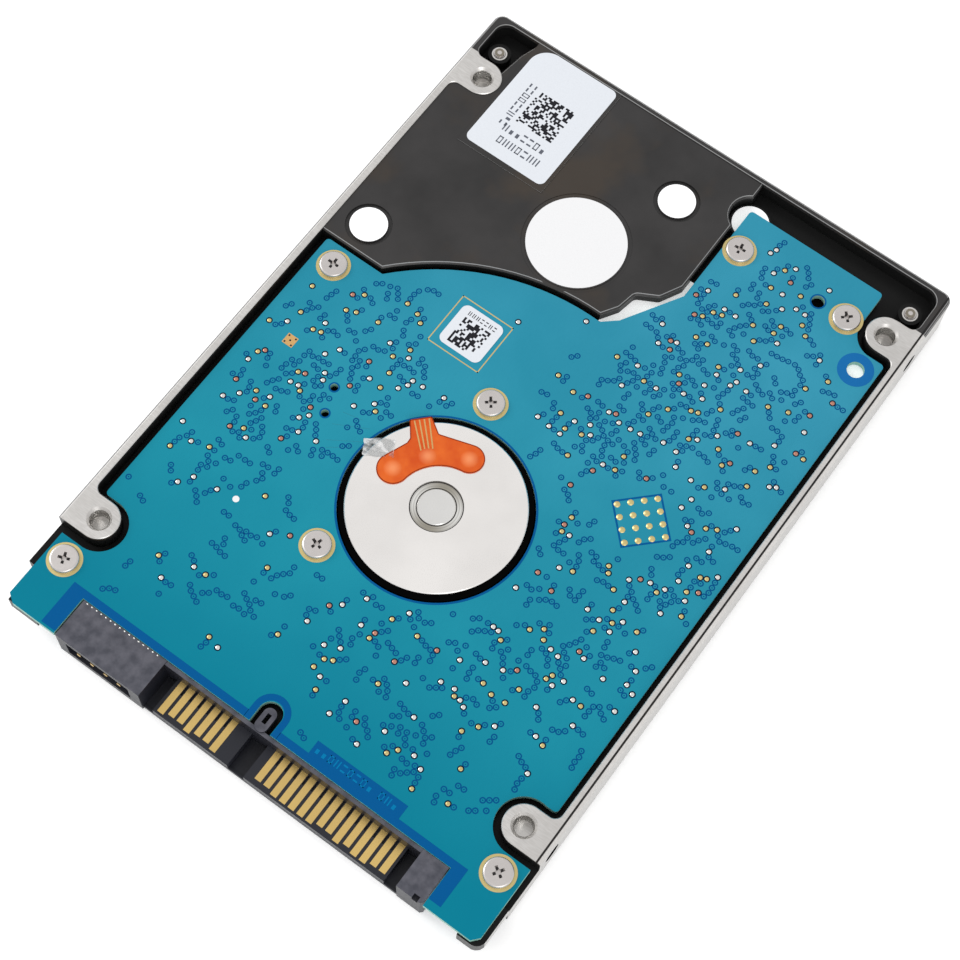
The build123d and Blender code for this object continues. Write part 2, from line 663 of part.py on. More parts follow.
with BuildPart() as pivot_post:
    slab(disc(pivot, shaft_r), cover_t, motor_bay_top)
    slab(disc(pivot, 4.4), motor_bay_top, bay_top)
    cut(disc(pivot, 0.7), cover_t, 2.5)
pivot_post.part.label = "pivot_post"
export_step(pivot_post.part, "parts/pivot_post.step")

race_zs = (0.85, 3.0)
with BuildPart() as pivot_races:
    for z in race_zs:
        slab(ring(pivot, shaft_r, 1.85), z, z + 0.7)
pivot_races.part.label = "pivot_races"
export_step(pivot_races.part, "parts/pivot_races.step")

with BuildPart() as pivot_balls:
    for z in race_zs:
        for i in range(8):
            with Locations((*polar(pivot, 2.2, 45 * i), z + 0.35)):
                Sphere(0.3)
pivot_balls.part.label = "pivot_balls"
export_step(pivot_balls.part, "parts/pivot_balls.step")

with BuildPart() as pivot_sleeve:
    slab(ring(pivot, 2.55, bearing_r), 0.8, 3.8)
pivot_sleeve.part.label = "pivot_sleeve"
export_step(pivot_sleeve.part, "parts/pivot_sleeve.step")

hub_outer, arm_end = 5.2, 24.0
with BuildPart() as actuator_arm:
    slab(ring(pivot, bearing_r, hub_outer), 0.75, 3.45)
    for z in arm_zs:
        slab(bar(polar(pivot, 4.0, park), polar(pivot, arm_end, park), 4.0, 1.9), z, z + arm_t)
        cut(bar(polar(pivot, 9.5, park), polar(pivot, 17.0, park), 1.9, 1.1), z, z + arm_t)
    cut(disc(pivot, bearing_r), 0.75, 3.45)
actuator_arm.part.label = "actuator_arm"
export_step(actuator_arm.part, "parts/actuator_arm.step")

coil_z, coil_t, coil_half = 2.85, 0.9, 17.0
with BuildPart() as voice_coil:
    slab(sector(pivot, 7.0, 17.0, coil_dir - coil_half, coil_dir + coil_half), coil_z, coil_z + coil_t)
    cut(sector(pivot, 9.6, 14.4, coil_dir - 8, coil_dir + 8), coil_z, coil_z + coil_t)
voice_coil.part.label = "voice_coil"
export_step(voice_coil.part, "parts/voice_coil.step")

with BuildPart() as coil_frame:
    slab(sector(pivot, hub_outer, 17.7, coil_dir - 20, coil_dir + 20), coil_z, coil_z + coil_t)
    cut(sector(pivot, 7.0, 17.0, coil_dir - coil_half, coil_dir + coil_half), coil_z, coil_z + coil_t)
    slab(sector(pivot, 9.6, 14.4, coil_dir - 8, coil_dir + 8), coil_z, coil_z + coil_t)
coil_frame.part.label = "coil_frame"
export_step(coil_frame.part, "parts/coil_frame.step")


def suspension(low, high):
    """Add a spring arm with its lift tab, between two heights."""
    slab(bar(polar(pivot, arm_end - 3, park), polar(pivot, slider_reach, park), 1.9, 0.75), low, high)
    slab(bar(polar(pivot, slider_reach, park), polar(pivot, 36.6, park), 0.3, 0.25), low, high)


slider_t, fly = 0.25, 0.08
slider_zs = (platter_z - fly - slider_t, platter_z + platter_t + fly)
with BuildPart() as lower_suspension:
    suspension(arm_zs[0] + arm_t, slider_zs[0])
lower_suspension.part.label = "lower_suspension"
export_step(lower_suspension.part, "parts/lower_suspension.step")

with BuildPart() as upper_suspension:
    suspension(slider_zs[1] + slider_t, arm_zs[1])
upper_suspension.part.label = "upper_suspension"
export_step(upper_suspension.part, "parts/upper_suspension.step")

with BuildPart() as head_sliders:
    for z in slider_zs:
        slab(bar(polar(pivot, slider_reach - 0.6, park), polar(pivot, slider_reach + 0.6, park), 0.35, 0.35),
             z, z + slider_t)
head_sliders.part.label = "head_sliders"
export_step(head_sliders.part, "parts/head_sliders.step")

with BuildPart() as head_amplifier:
    near_end, far_end = polar(pivot, hub_outer, park + 60), polar(pivot, hub_outer + 3.2, park + 60)
    slab(bar(near_end, far_end, 1.4, 1.4), 1.5, 3.2)
head_amplifier.part.label = "head_amplifier"
export_step(head_amplifier.part, "parts/head_amplifier.step")


# ======== voice coil motor, ramp, latch and small inner pieces ========

yoke_zs, yoke_t = (0.7, 4.9), 1.0
with BuildPart() as lower_yoke:
    slab(sector(pivot, 6.4, 18.4, *magnet_span), yoke_zs[0], yoke_zs[0] + yoke_t)
lower_yoke.part.label = "lower_yoke"
export_step(lower_yoke.part, "parts/lower_yoke.step")

with BuildPart() as upper_yoke:
    slab(sector(pivot, 6.4, 18.4, *magnet_span), yoke_zs[1], yoke_zs[1] + yoke_t)
upper_yoke.part.label = "upper_yoke"
export_step(upper_yoke.part, "parts/upper_yoke.step")

magnet_t = 0.7
magnet_zs = (yoke_zs[0] + yoke_t, yoke_zs[1] - magnet_t)
with BuildPart() as motor_magnets:
    for z in magnet_zs:
        slab(sector(pivot, 7.4, 17.0, magnet_span[0] + 8, magnet_span[1] - 8), z, z + magnet_t)
motor_magnets.part.label = "motor_magnets"
export_step(motor_magnets.part, "parts/motor_magnets.step")

with BuildPart() as crash_stops:
    for turn in (magnet_span[0], magnet_span[1]):
        slab(disc(polar(pivot, 12.0, turn), 0.7), magnet_zs[0], yoke_zs[1])
crash_stops.part.label = "crash_stops"
export_step(crash_stops.part, "parts/crash_stops.step")

ramp_low, ramp_high = 1.42, 2.78
with BuildPart() as load_ramp:
    slab(bar(polar(pivot, 35.2, park), polar(pivot, 39.6, park), 1.5, 1.9), ramp_low, ramp_high)
    cut(disc(spindle, platter_r + 0.3), ramp_low, ramp_high)
    slab(bar(polar(pivot, 38.0, park), polar(pivot, 40.2, park), 1.9, 1.9), ramp_low, ceiling_z)
load_ramp.part.label = "load_ramp"
export_step(load_ramp.part, "parts/load_ramp.step")

latch_pivot = (-21.5, 20.4)
with BuildPart() as latch_pin:
    slab(disc(latch_pivot, 0.6), 0.6, ceiling_z)
latch_pin.part.label = "latch_pin"
export_step(latch_pin.part, "parts/latch_pin.step")

latch_z, latch_t = 2.6, 0.7
with BuildPart() as latch_lever:
    slab(disc(latch_pivot, 1.5), latch_z, latch_z + latch_t)
    slab(bar(latch_pivot, (-26.0, 27.6), 0.9, 0.5), latch_z, latch_z + latch_t)
    slab(bar(latch_pivot, (-20.5, 17.2), 0.9, 1.3), latch_z, latch_z + latch_t)
    cut(disc(latch_pivot, 0.6 + 0.03), latch_z, latch_z + latch_t)
latch_lever.part.label = "latch_lever"
export_step(latch_lever.part, "parts/latch_lever.step")

with BuildPart() as recirculation_filter:
    slab(plate(21.5, 26.0, 26.0, 28.0, 0.4), 0.6, ceiling_z)
recirculation_filter.part.label = "recirculation_filter"
export_step(recirculation_filter.part, "parts/recirculation_filter.step")

with BuildPart() as breather_filter:
    slab(disc((-25.0, 15.2), 1.7), cover_t, 2.2)
breather_filter.part.label = "breather_filter"
export_step(breather_filter.part, "parts/breather_filter.step")

with BuildPart() as desiccant:
    slab(plate(19.0, 26.0, 41.0, 45.5, 0.6), 0.7, 3.2)
desiccant.part.label = "desiccant"
export_step(desiccant.part, "parts/desiccant.step")

with BuildPart() as head_connector:
    slab(plate(12.2, 23.8, 35.8, 38.2), 3.2, board_z)
    cut(plate(12.9, 23.1, 36.6, 37.4), 3.9, board_z)
head_connector.part.label = "head_connector"
export_step(head_connector.part, "parts/head_connector.step")

with BuildPart() as flex_bracket:
    slab(plate(10.5, 25.0, 35.0, 39.0, 0.8), 2.7, 3.2)
flex_bracket.part.label = "flex_bracket"
export_step(flex_bracket.part, "parts/flex_bracket.step")

# the head flex stands on edge and bends from the bracket towards the arm block
with BuildPart() as head_flex:
    with BuildSketch(Plane.XY.offset(1.5)):
        with BuildLine():
            Polyline((10.5, 36.0), (8.0, 36.0), (3.5, 32.8))
            offset(amount=0.08)
        make_face()
    extrude(amount=1.15)
head_flex.part.label = "head_flex"
export_step(head_flex.part, "parts/head_flex.step")
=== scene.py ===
import json
import math
import random

import bpy
import bmesh
from mathutils import Matrix, Vector
from mathutils.bvhtree import BVHTree


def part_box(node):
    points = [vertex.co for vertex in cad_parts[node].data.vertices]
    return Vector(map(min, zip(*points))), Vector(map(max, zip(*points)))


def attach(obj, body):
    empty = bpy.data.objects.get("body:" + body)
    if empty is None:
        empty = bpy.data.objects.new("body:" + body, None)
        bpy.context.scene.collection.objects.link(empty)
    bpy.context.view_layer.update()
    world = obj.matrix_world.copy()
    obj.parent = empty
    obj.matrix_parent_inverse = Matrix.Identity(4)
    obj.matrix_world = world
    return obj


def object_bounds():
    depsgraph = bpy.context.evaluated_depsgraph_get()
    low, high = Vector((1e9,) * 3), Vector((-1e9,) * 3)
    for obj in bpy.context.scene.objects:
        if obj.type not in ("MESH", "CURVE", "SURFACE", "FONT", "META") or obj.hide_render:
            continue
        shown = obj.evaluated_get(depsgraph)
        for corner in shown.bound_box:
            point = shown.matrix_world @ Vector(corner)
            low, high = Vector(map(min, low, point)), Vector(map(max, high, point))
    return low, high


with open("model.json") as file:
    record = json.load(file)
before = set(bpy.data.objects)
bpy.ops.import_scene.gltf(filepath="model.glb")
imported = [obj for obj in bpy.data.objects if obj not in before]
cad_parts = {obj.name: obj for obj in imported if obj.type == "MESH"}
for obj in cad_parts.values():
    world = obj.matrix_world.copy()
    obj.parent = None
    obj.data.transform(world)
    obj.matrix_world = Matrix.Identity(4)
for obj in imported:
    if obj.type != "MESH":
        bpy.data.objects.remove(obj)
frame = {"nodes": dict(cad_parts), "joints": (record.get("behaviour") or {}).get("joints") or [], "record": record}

cad_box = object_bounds()

# ======== places taken from the frame ========
MM = 0.001
BOARD_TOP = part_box("circuit_board")[1][2]
BAY_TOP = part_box("pivot_seal")[0][2]
MOUNTING_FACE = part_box("base_casting")[1][2]
SPINDLE = next(j["pos_m"] for j in frame["joints"] if j["name"] == "spindle_spin")
HOLES = next(m for m in frame["record"]["mounts"] if m["name"] == "bottom_screws")
HOLE_X = HOLES["dims"]["spacing_x_mm"] * MM / 2
HOLE_Y = [HOLES["pos_m"][1] + s * HOLES["dims"]["spacing_y_mm"] * MM / 2 for s in (-1, 1)]
LAND_END = 43.3 * MM  # the machined lands stop here, the coat goes on to the far end
CORNER_BOSS = (31.6, 45.4)  # one of the mirrored pair of corner screws
FILM = 0.012 * MM  # thickness of printed ink and plated rings
FLEX_DOMES = [(7.25, 93.5), (6.55, 136.0), (7.15, 173.5)]  # radius and angle about the spindle


# ======== small mesh tools ========

def from_bmesh(name, bm, material, body="chassis", smooth=False):
    """Turn a bmesh into a piece of the object."""
    bmesh.ops.recalc_face_normals(bm, faces=bm.faces)
    mesh = bpy.data.meshes.new(name)
    bm.to_mesh(mesh)
    bm.free()
    mesh.materials.append(material)
    if smooth:
        mesh.polygons.foreach_set("use_smooth", [True] * len(mesh.polygons))
    piece = bpy.data.objects.new(name, mesh)
    bpy.context.scene.collection.objects.link(piece)
    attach(piece, body)


def circle_points(centre, radius, count, turn=0.0):
    """Points of a circle in a level plane."""
    step = 2 * math.pi / count
    return [(centre[0] + radius * math.cos(turn + step * i), centre[1] + radius * math.sin(turn + step * i))
            for i in range(count)]


def add_lathe(bm, centre, profile, count=16, closed=False):
    """Turn a profile of (radius, height) points about an upright axis. A radius of 0 makes a tip."""
    rows = []
    for radius, z in profile:
        if radius == 0:
            rows.append([bm.verts.new((centre[0], centre[1], z))])
        else:
            rows.append([bm.verts.new((x, y, z)) for x, y in circle_points(centre, radius, count)])
    pairs = list(zip(rows, rows[1:]))
    if closed:
        pairs.append((rows[-1], rows[0]))
    for a, b in pairs:
        for i in range(count):
            j = (i + 1) % count
            if len(a) == 1:
                bm.faces.new((a[0], b[i], b[j]))
            elif len(b) == 1:
                bm.faces.new((a[i], b[0], a[j]))
            else:
                bm.faces.new((a[i], b[i], b[j], a[j]))


def add_prism(bm, points, z0, z1):
    """Closed prism over a flat outline."""
    bottom = [bm.verts.new((x, y, z0)) for x, y in points]
    top = [bm.verts.new((x, y, z1)) for x, y in points]
    bm.faces.new(bottom[::-1])
    bm.faces.new(top)
    for i in range(len(points)):
        j = (i + 1) % len(points)
        bm.faces.new((bottom[i], bottom[j], top[j], top[i]))


def box_points(x0, x1, y0, y1):
    """Corners of an upright rectangle."""
    return [(x0, y0), (x1, y0), (x1, y1), (x0, y1)]


def turned(points, centre, angle):
    """Points turned about a centre."""
    c, s = math.cos(angle), math.sin(angle)
    return [(centre[0] + (x - centre[0]) * c - (y - centre[1]) * s,
             centre[1] + (x - centre[0]) * s + (y - centre[1]) * c) for x, y in points]


# ======== shader tools ========

class Shader:
    """A principled material with short calls for its nodes."""

    def __init__(self, name, **inputs):
        self.material = bpy.data.materials.new(name)
        self.material.use_nodes = True
        self.tree = self.material.node_tree
        self.surface = self.tree.nodes["Principled BSDF"]
        for key, value in inputs.items():
            self.surface.inputs[key.replace("_", " ")].default_value = value
        self.place = self.node("ShaderNodeTexCoord").outputs["Object"]

    def node(self, kind, **settings):
        made = self.tree.nodes.new(kind)
        for key, value in settings.items():
            setattr(made, key, value)
        return made

    def feed(self, socket, value):
        if isinstance(value, bpy.types.NodeSocket):
            self.tree.links.new(value, socket)
        else:
            socket.default_value = value

    def math(self, operation, *values):
        made = self.node("ShaderNodeMath", operation=operation)
        for socket, value in zip(made.inputs, values):
            self.feed(socket, value)
        return made.outputs[0]

    def mix(self, factor, a, b):
        made = self.node("ShaderNodeMix", data_type="RGBA")
        self.feed(made.inputs[0], factor)
        self.feed(made.inputs[6], a)
        self.feed(made.inputs[7], b)
        return made.outputs[2]

    def blend(self, factor, a, b):
        made = self.node("ShaderNodeMix", data_type="FLOAT")
        self.feed(made.inputs[0], factor)
        self.feed(made.inputs[2], a)
        self.feed(made.inputs[3], b)
        return made.outputs[0]

    def noise(self, size, detail=3.0, roughness=0.55, stretch=(1, 1, 1)):
        """Noise whose features are about `size` metres across."""
        spread = self.node("ShaderNodeMapping")
        spread.inputs["Scale"].default_value = stretch
        self.feed(spread.inputs["Vector"], self.place)
        made = self.node("ShaderNodeTexNoise")
        made.inputs["Scale"].default_value = 1 / size
        made.inputs["Detail"].default_value = detail
        made.inputs["Roughness"].default_value = roughness
        self.feed(made.inputs["Vector"], spread.outputs["Vector"])
        return made.outputs["Fac"]

    def ramp(self, value, low, high):
        """Map low..high to 0..1."""
        made = self.node("ShaderNodeMapRange")
        self.feed(made.inputs["Value"], value)
        made.inputs["From Min"].default_value = low
        made.inputs["From Max"].default_value = high
        return made.outputs["Result"]

    def axes(self):
        made = self.node("ShaderNodeSeparateXYZ")
        self.feed(made.inputs[0], self.place)
        return made.outputs

    def facing(self):
        made = self.node("ShaderNodeSeparateXYZ")
        self.feed(made.inputs[0], self.node("ShaderNodeNewGeometry").outputs["Normal"])
        return made.outputs

    def reach(self, x, y, mirrored=False):
        """Level distance from an upright axis, or from the nearer of two mirrored about the middle."""
        axes = self.axes()
        across = self.math("ABSOLUTE", axes[0]) if mirrored else axes[0]
        dx, dy = self.math("SUBTRACT", across, x), self.math("SUBTRACT", axes[1], y)
        squares = self.math("ADD", self.math("MULTIPLY", dx, dx), self.math("MULTIPLY", dy, dy))
        return self.math("SQRT", squares)

    def over(self, value, limit):
        return self.math("GREATER_THAN", value, limit)

    def under(self, value, limit):
        return self.math("LESS_THAN", value, limit)

    def both(self, *masks):
        """Where every mask holds."""
        made = masks[0]
        for mask in masks[1:]:
            made = self.math("MULTIPLY", made, mask)
        return made

    def either(self, *masks):
        """Where any mask holds."""
        made = masks[0]
        for mask in masks[1:]:
            made = self.math("MAXIMUM", made, mask)
        return made

    def colour(self, value):
        self.feed(self.surface.inputs["Base Color"], value)

    def rough(self, value):
        self.feed(self.surface.inputs["Roughness"], value)

    def metal(self, value):
        self.feed(self.surface.inputs["Metallic"], value)

    def specular(self, value):
        self.feed(self.surface.inputs["Specular IOR Level"], value)

    def glow(self, strength):
        """Give the surface a little white light of its own."""
        self.surface.inputs["Emission Color"].default_value = rgb(1.0, 1.0, 1.0)
        self.surface.inputs["Emission Strength"].default_value = strength

    def bump(self, value, depth):
        """Bump whose full height is `depth` metres."""
        made = self.node("ShaderNodeBump")
        made.inputs["Distance"].default_value = depth
        self.feed(made.inputs["Height"], value)
        self.feed(self.surface.inputs["Normal"], made.outputs["Normal"])


def rgb(r, g, b):
    return (r, g, b, 1.0)


# ======== materials ========

def satin_metal(name, colour, rough, grain=0.6 * MM, stretch=(1, 1, 1), depth=0.004 * MM):
    """Bare metal with fine grain and a little uneven gloss."""
    s = Shader(name, Metallic=1.0)
    grain_noise = s.noise(grain, stretch=stretch)
    cloud = s.noise(9 * MM)
    dark = tuple(c * 0.86 for c in colour[:3]) + (1.0,)
    s.colour(s.mix(s.ramp(cloud, 0.3, 0.7), dark, colour))
    s.rough(s.blend(grain_noise, rough - 0.07, rough + 0.1))
    s.bump(grain_noise, depth)
    return s.material


def moulded(name, colour, rough, grain=0.25 * MM, depth=0.006 * MM):
    """Moulded plastic with a fine spark finish."""
    s = Shader(name)
    spark = s.noise(grain, detail=2.0)
    cloud = s.noise(6 * MM)
    dark = tuple(c * 0.8 for c in colour[:3]) + (1.0,)
    s.colour(s.mix(s.ramp(cloud, 0.3, 0.7), dark, colour))
    s.rough(s.blend(spark, rough - 0.06, rough + 0.08))
    s.bump(spark, depth)
    return s.material


def casting_material():
    """Black coated casting, bright where it is machined: lands, screw holes and the outer sides. Painted
    highlights run along its bevel tops and ledge. Painted shade darkens its pockets, the ring round the spindle
    tower and its outer sides.
    """
    s = Shader("cast_black_and_bright")
    x, y, z = s.axes()
    nx, _, nz = s.facing()
    side = s.math("ABSOLUTE", x)
    near_part = s.under(y, LAND_END)
    land = s.both(s.over(z, MOUNTING_FACE - 0.13 * MM), near_part, s.over(side, 28.2 * MM))
    groove_side = s.both(s.over(x, 34.53 * MM), s.over(z, MOUNTING_FACE - 0.4 * MM), near_part)
    upper = s.over(z, MOUNTING_FACE - 3.5 * MM)
    holes = [s.both(upper, s.under(s.reach(HOLE_X, hole_y, True), 1.62 * MM)) for hole_y in HOLE_Y]
    bosses = s.both(upper, s.under(s.reach(*(v * MM for v in CORNER_BOSS), True), 1.0 * MM))
    outer = s.both(s.over(side, 34.9 * MM), s.over(s.math("ABSOLUTE", nx), 0.8))
    bright = s.either(land, groove_side, *holes, bosses, outer)
    peel = s.noise(0.35 * MM, detail=4.0)
    lines = s.noise(0.12 * MM, stretch=(0.12, 1.0, 1.0))
    cloud = s.noise(8 * MM)
    brown_patches = s.noise(13 * MM, detail=4.0)
    coat = s.mix(s.ramp(cloud, 0.3, 0.7), rgb(0.020, 0.019, 0.019), rgb(0.036, 0.034, 0.034))
    # brownish patches at random in the coat
    coat = s.mix(s.math("MULTIPLY", s.ramp(brown_patches, 0.50, 0.66), 0.75), coat, rgb(0.046, 0.034, 0.024))
    # painted highlight: the coat is painted light grey along the tops of its bevels and round the ledge under the
    # label
    bevel = s.both(s.over(nz, 0.3), s.under(nz, 0.95))
    bay_crest_highlight = s.both(s.over(z, BAY_TOP - 0.08 * MM), s.under(z, BAY_TOP))
    crest = s.either(s.over(z, MOUNTING_FACE - 0.07 * MM), bay_crest_highlight)
    ledge_highlight = s.both(s.over(z, BAY_TOP + 0.02 * MM), s.under(nz, 0.3), s.under(side, 28.2 * MM),
                   s.under(y, 49.0 * MM))
    coat = s.mix(s.either(s.both(bevel, crest), ledge_highlight), coat, rgb(0.30, 0.30, 0.30))
    # painted shade: the coat is darker and less glossy in the deep pockets, and near black round the spindle tower
    # under the board window, where the coat is black and also in shadow
    tower_shade = s.under(s.reach(SPINDLE[0], SPINDLE[1]), 12.3 * MM)
    deep_shade = s.either(s.under(z, 6.4 * MM), tower_shade)
    coat = s.mix(deep_shade, coat, rgb(0.010, 0.010, 0.010))
    coat = s.mix(tower_shade, coat, rgb(0.001, 0.001, 0.001))
    coated = s.math("SUBTRACT", 1.0, bright)
    gloss = s.blend(s.both(deep_shade, coated), 0.36, 0.10)
    s.specular(s.blend(tower_shade, gloss, 0.02))
    bare = s.mix(s.ramp(lines, 0.3, 0.7), rgb(0.66, 0.64, 0.615), rgb(0.80, 0.78, 0.76))
    bare = s.mix(s.math("MULTIPLY", s.ramp(cloud, 0.45, 0.6), 0.35), bare, rgb(0.55, 0.53, 0.51))
    # painted shade: the outer side faces are painted a darker grey than the machined lands
    bare = s.mix(outer, bare, rgb(0.50, 0.49, 0.475))
    s.colour(s.mix(bright, coat, bare))
    s.metal(bright)
    s.rough(s.blend(bright, s.blend(peel, 0.24, 0.40), s.blend(lines, 0.26, 0.44)))
    s.bump(s.blend(bright, peel, lines), 0.010 * MM)
    return s.material


def board_material():
    """Teal solder mask over copper, with a pale glass-fibre edge."""
    s = Shader("solder_mask", Specular_IOR_Level=0.08)
    y, nz = s.axes()[1], s.facing()[2]
    # painted shade and light: the mask is darker towards the plug end and paler towards the far end
    mask = s.mix(s.ramp(y, -46 * MM, -22 * MM), rgb(0.0, 0.200, 0.288), rgb(0.012, 0.272, 0.366))
    mask = s.mix(s.ramp(y, -22 * MM, 25 * MM), mask, rgb(0.040, 0.300, 0.432))
    cloud = s.noise(14 * MM, detail=2.0)
    mask = s.mix(s.math("MULTIPLY", s.ramp(cloud, 0.35, 0.65), 0.30), mask, rgb(0.0, 0.175, 0.270))
    weave = s.noise(0.30 * MM, detail=2.0, stretch=(1.0, 0.35, 1.0))
    mask = s.mix(s.math("MULTIPLY", weave, 0.10), mask, rgb(0.0, 0.12, 0.20))
    edge = s.under(s.math("ABSOLUTE", nz), 0.5)
    s.colour(s.mix(edge, mask, s.mix(weave, rgb(0.16, 0.40, 0.36), rgb(0.34, 0.52, 0.42))))
    s.rough(s.blend(weave, 0.36, 0.48))
    s.bump(weave, 0.004 * MM)
    return s.material


def disc_material(name, colour, rough, anisotropy=0.0):
    """Turned metal: fine rings about the spindle and a slow change in tone round it."""
    s = Shader(name, Metallic=1.0, Anisotropic=anisotropy)
    away = s.reach(SPINDLE[0], SPINDLE[1])
    rings = s.math("SINE", s.math("MULTIPLY", away, 2 * math.pi / (0.12 * MM)))
    cloud = s.noise(7 * MM, detail=2.0)
    dark = tuple(c * 0.94 for c in colour[:3]) + (1.0,)
    s.colour(s.mix(s.ramp(cloud, 0.35, 0.65), dark, colour))
    s.rough(s.blend(s.ramp(rings, -1, 1), rough - 0.04, rough + 0.05))
    s.bump(rings, 0.0006 * MM)
    if anisotropy:
        s.feed(s.surface.inputs["Tangent"], s.node("ShaderNodeTangent", direction_type="RADIAL",
                                                    axis="Z").outputs[0])
    return s.material


def bearing_material():
    """Turned groove with a painted reflection: its tone swings between light and dark lobes round the spindle."""
    s = Shader("bearing_painted_sheen", Metallic=1.0)
    x, y, _ = s.axes()
    away = s.reach(SPINDLE[0], SPINDLE[1])
    angle = s.math("ARCTAN2", s.math("SUBTRACT", y, SPINDLE[1]), s.math("SUBTRACT", x, SPINDLE[0]))
    # painted reflection: two light and two dark lobes round the spindle, as on a turned groove under light
    painted_sheen_swing = s.math("SINE", s.math("MULTIPLY_ADD", angle, 2.0, 1.1))
    rings = s.math("SINE", s.math("MULTIPLY", away, 2 * math.pi / (0.33 * MM)))
    tone = s.mix(s.ramp(painted_sheen_swing, -1, 1), rgb(0.40, 0.37, 0.31), rgb(0.88, 0.87, 0.84))
    s.colour(s.mix(s.math("MULTIPLY", s.ramp(rings, -0.2, 1), 0.45), tone, rgb(0.28, 0.27, 0.25)))
    s.rough(s.blend(s.ramp(rings, -1, 1), 0.20, 0.32))
    s.bump(rings, 0.004 * MM)
    return s.material


def plug_material():
    """Dark plug plastic, with a painted sheen that makes its upper faces paler and mottled."""
    s = Shader("plug_plastic", Specular_IOR_Level=0.35)
    # painted sheen: the upper faces are paler and mottled, as they catch the light
    upper = s.both(s.over(s.facing()[2], 0.8), s.over(s.axes()[2], BOARD_TOP - 0.3 * MM))
    mottle = s.noise(1.5 * MM, detail=4.0)
    spark = s.noise(0.25 * MM, detail=2.0)
    pale = s.mix(s.ramp(mottle, 0.35, 0.65), rgb(0.050, 0.052, 0.068), rgb(0.100, 0.100, 0.122))
    s.colour(s.mix(upper, rgb(0.014, 0.015, 0.022), pale))
    s.rough(s.blend(spark, 0.36, 0.50))
    s.bump(mottle, 0.03 * MM)
    return s.material


def foil_material(name, colour, rough, depth=0.02 * MM, strength=0.0):
    """Paper or foil with a faint waviness, and light of its own where it has a strength."""
    s = Shader(name)
    s.glow(strength)
    fibre = s.noise(0.15 * MM, detail=3.0)
    swell = s.noise(2.2 * MM, detail=1.0)
    dark = tuple(c * 0.95 for c in colour[:3]) + (1.0,)
    s.colour(s.mix(s.ramp(fibre, 0.3, 0.7), dark, colour))
    s.rough(s.blend(fibre, rough - 0.05, rough + 0.05))
    s.bump(swell, depth)
    return s.material


def around_spindle(radius, degrees):
    """The point at a radius in millimetres and an angle about the spindle."""
    turn = math.radians(degrees)
    return SPINDLE[0] + radius * MM * math.cos(turn), SPINDLE[1] + radius * MM * math.sin(turn)


def film_material():
    """Orange polyimide film, with a painted highlight on each dome over the soldered coil ends."""
    s = Shader("orange_film", Specular_IOR_Level=0.18)
    swell = s.noise(1.6 * MM, detail=1.0)
    tone = s.noise(3.0 * MM)
    orange = s.mix(s.ramp(tone, 0.35, 0.65), rgb(0.62, 0.080, 0.010), rgb(0.74, 0.135, 0.018))
    # painted highlight: a pale spot on each dome
    for place in FLEX_DOMES:
        glow = s.ramp(s.reach(*around_spindle(*place)), 1.15 * MM, 0.2 * MM)
        orange = s.mix(s.math("MULTIPLY", glow, 0.6), orange, rgb(0.93, 0.36, 0.16))
    s.colour(orange)
    s.rough(s.blend(tone, 0.26, 0.36))
    s.bump(swell, 0.03 * MM)
    return s.material


def ink(name, colour, rough=0.5):
    """Printed ink or mask colour, slightly uneven."""
    s = Shader(name, Specular_IOR_Level=0.06)
    grain = s.noise(0.12 * MM, detail=2.0)
    dark = tuple(c * 0.85 for c in colour[:3]) + (1.0,)
    s.colour(s.mix(grain, dark, colour))
    s.rough(s.blend(grain, rough - 0.08, rough + 0.08))
    return s.material


def clear_film():
    """Thin crumpled clear tape."""
    s = Shader("clear_tape", Specular_IOR_Level=0.8)
    swell = s.noise(1.3 * MM, detail=2.0, stretch=(0.5, 1.0, 1.0))
    streak = s.ramp(swell, 0.42, 0.60)
    s.colour(s.mix(streak, rgb(0.30, 0.33, 0.34), rgb(0.90, 0.90, 0.90)))
    s.feed(s.surface.inputs["Alpha"], s.blend(streak, 0.18, 0.52))
    s.rough(s.blend(swell, 0.12, 0.3))
    s.bump(swell, 0.10 * MM)
    return s.material


CASTING = casting_material()
BOARD = board_material()
DISC = disc_material("turned_steel", rgb(0.985, 0.955, 0.930), 0.27, 0.5)
PLATTER = disc_material("polished_platter", rgb(0.88, 0.88, 0.87), 0.07)
COVER = satin_metal("cover_sheet_satin", rgb(0.74, 0.73, 0.71), 0.34, 0.10 * MM, (1.0, 0.06, 1.0))
SCREW = satin_metal("plated_screw", rgb(0.72, 0.68, 0.66), 0.34, 0.35 * MM, depth=0.008 * MM)
STEEL = satin_metal("bright_steel", rgb(0.82, 0.81, 0.79), 0.24)
ARM = satin_metal("machined_arm", rgb(0.83, 0.83, 0.82), 0.32)
NICKEL = satin_metal("nickel_plate", rgb(0.72, 0.70, 0.66), 0.26)
MAGNET = satin_metal("grey_magnet", rgb(0.22, 0.22, 0.23), 0.5)
COPPER = satin_metal("enamelled_copper", rgb(0.72, 0.30, 0.13), 0.3, 0.12 * MM, (1.0, 1.0, 6.0))
GOLD = satin_metal("gold_plate", rgb(0.80, 0.56, 0.20), 0.34, 0.4 * MM)
PALE_GOLD = satin_metal("pale_gold_land", rgb(0.76, 0.62, 0.28), 0.38, 0.3 * MM)
SOLDER = satin_metal("bright_solder", rgb(0.90, 0.89, 0.86), 0.26, 0.3 * MM)
AMBER = satin_metal("amber_land", rgb(0.82, 0.50, 0.20), 0.40, 0.3 * MM)
BEARING = bearing_material()
CAP = disc_material("bearing_cap_steel", rgb(0.85, 0.84, 0.82), 0.30)
